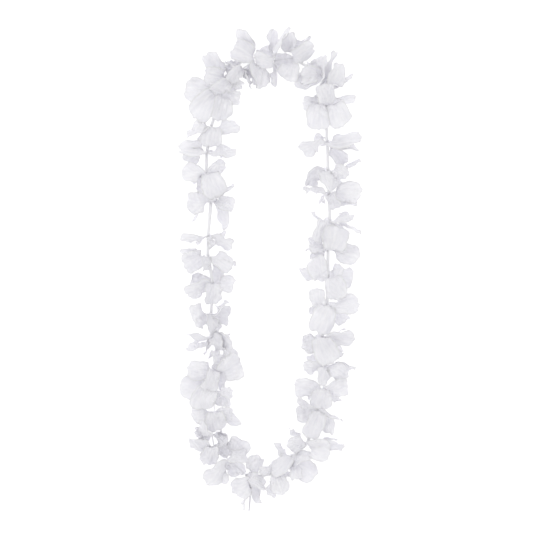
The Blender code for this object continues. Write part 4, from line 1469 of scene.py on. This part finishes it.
@dataclass
class FloretCloth:
    """The florets as they look: each one a crumpled sheet, die-cut into five lobes round a hole."""

    bending: PetalBending  # How the petals are bent
    bends: dict[tuple[int, int], Bend]  # How each petal has settled
    die: DieCut = DieCut()  # How they are cut
    crumpling: Crumpling = Crumpling()  # How they are crumpled
    cloth: float = 0.25 * MM  # The thickness of the cloth
    rows: int = 26  # Rows of faces along a petal
    columns: int = 28  # Columns of faces across a petal
    hub_rows: int = 3  # Rows of faces from the hole to the petals
    root_blend: float = 0.14  # The share of a petal in which it flattens out of its gathered hub
    root_cut: float = 0.1  # The share of it at its root that has no cut edge
    hub_pleats: int = 7  # How many pleats the gathered hub has
    hub_pleat_depth: float = 0.4 * MM  # How far they stand off
    edge_width: float = 1.6 * MM  # The width of the denser cut edge
    area_steps: int = 200  # The places that measure a petal's area
    seed: int = 12  # What the random numbers start from

    def __post_init__(self) -> None:
        """Lays out one petal's grid of places, from its root to its end and from side to side."""
        self.strung = self.bending.strung
        across = np.linspace(-1, 1, self.columns + 1)
        out = np.linspace(0, 1, self.rows + 1)
        self.u = np.repeat(out, len(across))
        self.v = np.tile(across, len(out))
        self.across = across

    def hub_points(self, i: int, k: int, radius: float) -> np.ndarray:
        """A ring of petal k's share of hub i, gathered in small pleats.

        Args:
            i: the floret's number.
            k: the petal's number.
            radius: the ring's radius.

        Returns:
            Its points, from side to side.
        """
        cord, leave = self.strung.cords[i], self.strung.ways[i][k]
        angles = self.across * SLOT_ANGLE / 2
        ring = np.outer(np.cos(angles), leave) + np.outer(np.sin(angles), np.cross(cord, leave))
        level, upward = level_and_upward(cord)
        turn = np.arctan2(ring @ upward, ring @ level)
        depth = self.hub_pleat_depth * np.sin(self.hub_pleats * turn + i) * radius / self.strung.hub_radius
        return self.strung.hubs[i] + ring * radius + np.outer(depth, cord)

    def flat_places(self, i: int, k: int, radii: np.ndarray, out: np.ndarray, side: np.ndarray) -> np.ndarray:
        """Where a petal's points lie in the floret's flat cut.

        Args:
            i: the floret's number.
            k: the petal's number.
            radii: the radii of its hub's rings.
            out: how far from its root each of its own points lies.
            side: how far off its middle.

        Returns:
            The places of the hub's points and of its own, in metres from the hole's middle.
        """
        level, upward = level_and_upward(self.strung.cords[i])
        leave = self.strung.ways[i][k]
        turn = math.atan2(leave @ upward, leave @ level)
        angles = np.tile(self.across, len(radii)) * SLOT_ANGLE / 2
        reach = np.repeat(radii, len(self.across))
        hub = np.stack([reach * np.cos(angles), reach * np.sin(angles)], axis=1)
        flat = np.vstack([hub, np.stack([self.strung.hub_radius + out, side], axis=1)])
        return flat @ np.array(((math.cos(turn), math.sin(turn)), (-math.sin(turn), math.cos(turn))))

    def petal(self, i: int, k: int) -> dict[str, np.ndarray]:
        """One petal with its share of the hub.

        Args:
            i: the floret's number.
            k: the petal's number.

        Returns:
            Its points, their places in the flat cut, and how near each is to the cut edge, row by
            row from the hole to the tip.
        """
        random = np.random.default_rng(self.seed + PETALS * i + k)
        bend, u, v, blade = self.bends[(i, k)], self.u, self.v, self.bending.blade
        along, share = self.die.lay(u, v, random)
        strip = self.bending.strip(i, k, bend, along, self.bending.turned_side(i, k, bend))
        half = 0.5 * strip.width * strip.kept * share
        off = self.bending.cupping(i, k, along, v)
        spots = np.stack([along * blade, half * v], axis=1)
        off += self.crumpling.heights(u, v, spots, (blade, strip.width / 2), random)
        points = strip.middle + strip.across * (half * v)[:, None] + strip.face * off[:, None]
        step = self.hub_points(i, k, self.strung.hub_radius) - points[:len(self.across)]
        points += np.tile(step, (self.rows + 1, 1)) * (1 - smooth(u / self.root_blend))[:, None]
        points[:, 2] = np.maximum(points[:, 2], self.cloth)
        radii = np.linspace(self.strung.hub_hole, self.strung.hub_radius, self.hub_rows + 1)[:-1]
        hub = np.vstack([self.hub_points(i, k, radius) for radius in radii])
        flat_half = 0.5 * self.bending.width * share
        from_side = (1 - np.abs(v)) * flat_half + blade * (u < self.root_cut)
        near = 1 - smooth(np.minimum(from_side, (1 - u) * blade) / self.edge_width)
        return {
            "points": np.vstack([hub, points]),
            "flat": self.flat_places(i, k, radii, along * blade, flat_half * v),
            "edge": np.concatenate([np.zeros(len(hub)), near]),
        }

    def mesh(self, i: int) -> bpy.types.Mesh:
        """Sews up one floret.

        Args:
            i: the floret's number.

        Returns:
            Its cloth as one welded sheet, with its flat cut as a UV map.
        """
        petals = [self.petal(i, k) for k in range(PETALS)]
        points, flat, edge = (np.concatenate(parts) for parts in zip(*(petal.values() for petal in petals)))
        quads = grid_quads(self.rows + self.hub_rows + 1, self.columns + 1)
        per_petal = len(petals[0]["points"])
        faces = np.vstack([quads + k * per_petal for k in range(PETALS)])
        mesh = bpy.data.meshes.new(f"floret_{i + 1:02d}_cloth")
        mesh.from_pydata(points.tolist(), [], faces.tolist())
        places = WovenPolyester.middle[:2] + flat[faces.ravel()] / WovenPolyester.flat_size
        mesh.uv_layers.new(name=FLAT_CUT).data.foreach_set("uv", places.ravel())
        mesh.attributes.new(CUT_EDGE, "FLOAT", "POINT").data.foreach_set("value", edge)
        bm = bmesh.new()
        bm.from_mesh(mesh)
        bmesh.ops.remove_doubles(bm, verts=bm.verts, dist=WELD)
        bm.to_mesh(mesh)
        bm.free()
        mesh.shade_smooth()
        return mesh

    def flat_cut(self, i: int) -> tuple[float, float]:
        """Measures one floret's flat cut.

        Args:
            i: the floret's number.

        Returns:
            How far across it is, and its area: the hub's ring and the petals.
        """
        shape = np.mean(self.die.half_width(np.linspace(0, 1, self.area_steps)))
        area = math.pi * (self.strung.hub_radius**2 - self.strung.hub_hole**2)
        reach = 0.0
        for k in range(PETALS):
            strip = self.bending.strip(i, k, self.bends[(i, k)], np.zeros(1), 1.0)
            area += strip.width * self.bending.blade * strip.kept**2 * shape
            reach = max(reach, self.strung.hub_radius + self.bending.blade * strip.kept)
        return 2 * reach, float(area)

    def build(self, cloth: bpy.types.Material) -> list[bpy.types.Object]:
        """Makes every floret.

        Args:
            cloth: the cloth's material.

        Returns:
            The florets, each a sheet of cloth gathered on the thread.
        """
        pieces = []
        for i in range(len(self.strung.florets)):
            piece = new_object(f"floret_{i + 1:02d}_cloth", self.mesh(i))
            piece.data.materials.append(cloth)
            solid = piece.modifiers.new("cloth", "SOLIDIFY")
            solid.thickness = self.cloth
            solid.offset = 0.0
            place(piece, [f"floret_{i + 1:02d}"])
            across, area = self.flat_cut(i)
            pieces.append(piece)
        return pieces


@dataclass
class SpacerTubes:
    """The plastic tubes that keep florets apart on the thread."""

    strung: Stringing  # The hubs that they run between
    radius: float = 1.6 * MM  # Their outer radius
    bore: float = 1.0 * MM  # Their inner radius
    gap: float = 0.4 * MM  # How far a tube's end stays off a hub's cloth
    solid_cloth: float = 0.6 * MM  # The thickness of a solid hub
    sides: int = 24  # The sides of a tube
    rings: int = 9  # The rings along a tube
    flare: float = 0.05  # How much wider a cut end is than the middle
    flare_power: float = 6.0  # How near the end it widens

    def end_gap(self, i: int, way: np.ndarray) -> float:
        """How far a tube that leaves hub i by this way stays from the hub's centre."""
        tilt = math.acos(min(abs(way @ self.strung.cords[i % len(self.strung.cords)]), 1.0))
        return self.solid_cloth / 2 + self.gap + self.radius * math.tan(tilt)

    def axis(self, i: int) -> np.ndarray:
        """The two ends of the tube that follows floret i."""
        (way, far), hub = self.strung.run(i), self.strung.hubs[i]
        return np.array([hub + way * self.end_gap(i, way), hub + way * (far - self.end_gap(i + 1, way))])

    def tree(self) -> PathTree:
        """Builds the tree that draws a tube's skin along each line.

        Returns:
            The tree. Its tubes are a little flared at their cut ends.
        """
        tubes = PathTree("spacer_tubes", "Radius, Flare", "Sides, Rings")
        rings = tubes.line("Count", tubes.given["Rings"])
        spot = tubes.add("GeometryNodeSplineParameter", {}).outputs["Factor"]
        from_middle = tubes.maths("MULTIPLY", tubes.maths("SUBTRACT", spot, 0.5), 2.0)
        near_end = tubes.maths("POWER", from_middle, self.flare_power)
        flare = tubes.maths("MULTIPLY_ADD", near_end, tubes.given["Flare"], 1.0)
        flared = tubes.add("GeometryNodeSetCurveRadius", {"Curve": rings, "Radius": flare}).outputs[0]
        tubes.close(flared, tubes.ring("Sides", "Radius"), False)
        return tubes

    def build(self, plastic: bpy.types.Material) -> bpy.types.Object:
        """Makes the tubes.

        Args:
            plastic: the tubes' material.

        Returns:
            All the tubes as one piece.
        """
        florets = self.strung.florets
        lines = [self.axis(i) for i, floret in enumerate(florets) if floret.tube or floret.hidden_tube]
        values = {
            "Radius": self.radius, "Sides": self.sides, "Rings": self.rings, "Flare": self.flare,
            "Material": plastic,
        }
        tubes = self.tree().bake("spacer_tubes", line_mesh("tube_axes", lines), values)
        wall = tubes.modifiers.new("wall", "SOLIDIFY")
        wall.thickness = self.radius - self.bore
        wall.offset = -1.0
        place(tubes, [f"tube_{i + 1:02d}" for i, floret in enumerate(florets) if floret.tube])
        return tubes


@dataclass
class StringThread:
    """The thread that the florets are strung on: its loop, the knot that closes it, and its tail."""

    strung: Stringing  # The hubs that it runs through
    turn: float = 1.2 * MM  # How far from a hub's centre the thread starts to turn
    knot_from_hub: float = 5.0 * MM  # How far the knot lies from the first hub
    # The tail's points on the plan and their heights, in millimetres
    tail: tuple[tuple[float, float, float], ...] = (
        (247.5, 481, 12), (249, 488, 7), (250, 496, 3.4), (249.6, 504, 1.4), (249, 512, 0.8)
    )
    tail_steps: int = 6  # The steps between two of them
    plies: int = 3  # The plies of the thread
    ply: float = 0.21 * MM  # A ply's radius
    lay: float = 0.21 * MM  # How far the plies' middles lie from the thread's
    twist: float = 260.0  # The turns of the plies in a metre
    step: float = 0.7 * MM  # The length of a step along the thread
    sides: int = 6  # The sides of a ply
    knot_ring: float = 0.95 * MM  # The radius of the knot's ring round the thread
    knot_wrap: float = 0.5 * MM  # The radius of its wraps round that ring
    knot_points: int = 90  # The points round the knot
    knot_step: float = 1 / 3  # The length of a step along the knot, as a share of one along the thread
    tail_strand: float = 0.42 * MM  # The radius of each of the tail's two ends
    tail_twist: float = 90.0  # The turns of the two ends in a metre

    def tail_corners(self) -> np.ndarray:
        """The points that the tail is bent through, from the knot on."""
        knot = self.strung.hubs[0] - self.strung.run(-1)[0] * self.knot_from_hub
        return np.array([knot] + [plan_point(x, y, z * MM) for x, y, z in self.tail])

    def tail_points(self) -> np.ndarray:
        """Bends the tail smoothly through its corners.

        Returns:
            The points of its route.
        """
        corners = self.tail_corners()
        far = np.concatenate([[0], np.cumsum(np.linalg.norm(np.diff(corners, axis=0), axis=1))])
        fine = np.linspace(0, far[-1], self.tail_steps * (len(corners) - 1) + 1)
        return hermite(fine, far, corners, np.gradient(corners, far, axis=0))

    def loop_points(self) -> np.ndarray:
        """Lays the loop straight through each tube, and turns it within each hub's hole.

        Returns:
            Its corners.
        """
        points = []
        for i, hub in enumerate(self.strung.hubs):
            points += [hub - self.strung.run(i - 1)[0] * self.turn, hub + self.strung.run(i)[0] * self.turn]
        return np.array(points)

    def knot_line(self) -> np.ndarray:
        """Ties the overhand knot round the thread.

        Returns:
            The points of its closed line, which runs twice round the thread and thrice round its ring.
        """
        way = -self.strung.run(-1)[0]
        level, upward = level_and_upward(way)
        t = np.linspace(0, 2 * math.pi, self.knot_points, endpoint=False)
        out = self.knot_ring + self.knot_wrap * np.cos(3 * t)
        ring = np.outer(out * np.cos(2 * t), level) + np.outer(out * np.sin(2 * t), upward)
        return self.tail_corners()[0] + ring + np.outer(self.knot_wrap * np.sin(3 * t), way)

    def tree(self) -> PathTree:
        """Builds the tree that lays twisted strands along a line.

        Returns:
            The tree. Its strands' ends are closed.
        """
        strands = PathTree("twisted_strands", "Strand Radius, Lay Radius, Twist, Step", "Strands, Sides")
        steps = strands.line("Length", strands.given["Step"])
        spot = strands.add("GeometryNodeSplineParameter", {}).outputs["Length"]
        tilt = strands.maths("MULTIPLY", spot, strands.given["Twist"])
        tilted = strands.add("GeometryNodeSetCurveTilt", {"Curve": steps, "Tilt": tilt}).outputs[0]
        places, strand = strands.ring("Strands", "Lay Radius"), strands.ring("Sides", "Strand Radius")
        bundle = strands.add("GeometryNodeInstanceOnPoints", {"Points": places, "Instance": strand})
        profile = strands.add("GeometryNodeRealizeInstances", {0: bundle.outputs[0]}).outputs[0]
        strands.close(tilted, profile, True)
        return strands

    def whole_twist(self, line: np.ndarray) -> float:
        """The twist that brings the plies of a closed line back together.

        Args:
            line: the line's points.

        Returns:
            The twist, in radians a metre.
        """
        length = np.linalg.norm(np.roll(line, -1, axis=0) - line, axis=1).sum()
        turns = round(length * self.twist * self.plies) / self.plies
        return 2 * math.pi * turns / length

    def build(self, spun: bpy.types.Material) -> list[bpy.types.Object]:
        """Makes the thread.

        Args:
            spun: the thread's material.

        Returns:
            Its loop, its knot and its tail.
        """
        tree = self.tree()
        values = {
            "Strands": self.plies, "Strand Radius": self.ply, "Lay Radius": self.lay, "Step": self.step,
            "Sides": self.sides, "Material": spun,
        }
        loop_line, knot_line, tail_line = self.loop_points(), self.knot_line(), self.tail_points()
        loop_values = values | {"Twist": self.whole_twist(loop_line)}
        loop = tree.bake("thread_loop", line_mesh("loop_line", [loop_line], True), loop_values)
        knot_values = values | {"Twist": self.whole_twist(knot_line), "Step": self.step * self.knot_step}
        knot = tree.bake("thread_knot", line_mesh("knot_line", [knot_line], True), knot_values)
        tail_values = values | {
            "Strands": 2, "Strand Radius": self.tail_strand, "Lay Radius": self.tail_strand,
            "Twist": 2 * math.pi * self.tail_twist, "Sides": 2 * self.sides,
        }
        tail = tree.bake("thread_tail", line_mesh("tail_line", [tail_line]), tail_values)
        for piece in (loop, knot, tail):
            place(piece, ["thread"])
        return [loop, knot, tail]


@dataclass
class Studio:
    """The pale floor, the soft light and the camera straight above."""

    floor_size: float = 40.0  # The floor's width
    floor_grid: int = 8  # The faces along each of its sides
    view_width: float = 0.540  # How much of the floor's width the picture shows
    camera_height: float = 5.0  # How far over the thread the camera stands
    sensor: float = 36.0  # The width of its sensor, in millimetres
    sky: float = 0.87  # How strong the light from all sides is
    lamp: float = 0.32  # How strong the soft lamp is
    lamp_spread: float = 50.0  # How wide the soft lamp looks, in degrees
    lamp_tilt: float = 30.0  # How far it stands off straight above, in degrees
    lamp_turn: float = 130.0  # Which way, in degrees from +X

    def floor(self) -> bpy.types.Object:
        """Makes the floor.

        Returns:
            The floor.
        """
        bm = bmesh.new()
        faces = self.floor_grid
        bmesh.ops.create_grid(bm, x_segments=faces, y_segments=faces, size=self.floor_size / 2)
        mesh = bpy.data.meshes.new("floor")
        bm.to_mesh(mesh)
        bm.free()
        floor = new_object("floor", mesh)
        mesh.materials.append(PaleFloor().material())
        return floor

    def light(self) -> None:
        """Makes the even light from all sides and the soft lamp above."""
        world = bpy.data.worlds.new("studio")
        world.use_nodes = True
        sky = world.node_tree.nodes["Background"]
        sky.inputs["Color"].default_value = WHITE
        sky.inputs["Strength"].default_value = self.sky
        bpy.context.scene.world = world
        lamp = bpy.data.lights.new("soft_lamp", "SUN")
        lamp.energy = self.lamp
        lamp.angle = math.radians(self.lamp_spread)
        holder = bpy.data.objects.new("soft_lamp", lamp)
        tilt, turn = math.radians(self.lamp_tilt), math.radians(self.lamp_turn)
        holder.rotation_euler = (0.0, tilt, turn)
        bpy.context.scene.collection.objects.link(holder)

    def camera(self, height: float) -> None:
        """Makes the camera, over the middle of the picture and level with its edges.

        Args:
            height: how high the thread runs.
        """
        data = bpy.data.cameras.new("camera")
        data.sensor_width = self.sensor
        data.lens = self.sensor * self.camera_height / self.view_width
        camera = bpy.data.objects.new("camera", data)
        camera.location = plan_point(*PICTURE_MIDDLE, height + self.camera_height)
        bpy.context.scene.collection.objects.link(camera)
        bpy.context.scene.camera = camera

    def build(self, height: float) -> None:
        """Makes the floor, the light and the camera.

        Args:
            height: how high the lei's thread runs.
        """
        self.floor()
        self.light()
        self.camera(height)
        bpy.context.scene.view_settings.view_transform = "Standard"
        log.info("studio: floor, light and camera")


def main() -> None:
    """Builds the lei's looks in order."""
    logging.basicConfig(level=logging.INFO, format="%(name)s: %(message)s")
    strung = Stringing(FLORETS)
    Studio().build(strung.hub_height)
    thread = StringThread(strung)
    thread.build(SpunThread().material())
    bending = PetalBending(strung)
    bends = Settling(bending, thread.tail_corners()).run()
    log.info("settled %d petals", len(bends))
    FloretCloth(bending, bends).build(WovenPolyester().material())
    SpacerTubes(strung).build(PolyethyleneTube().material())


if __name__ == "__main__":
    main()
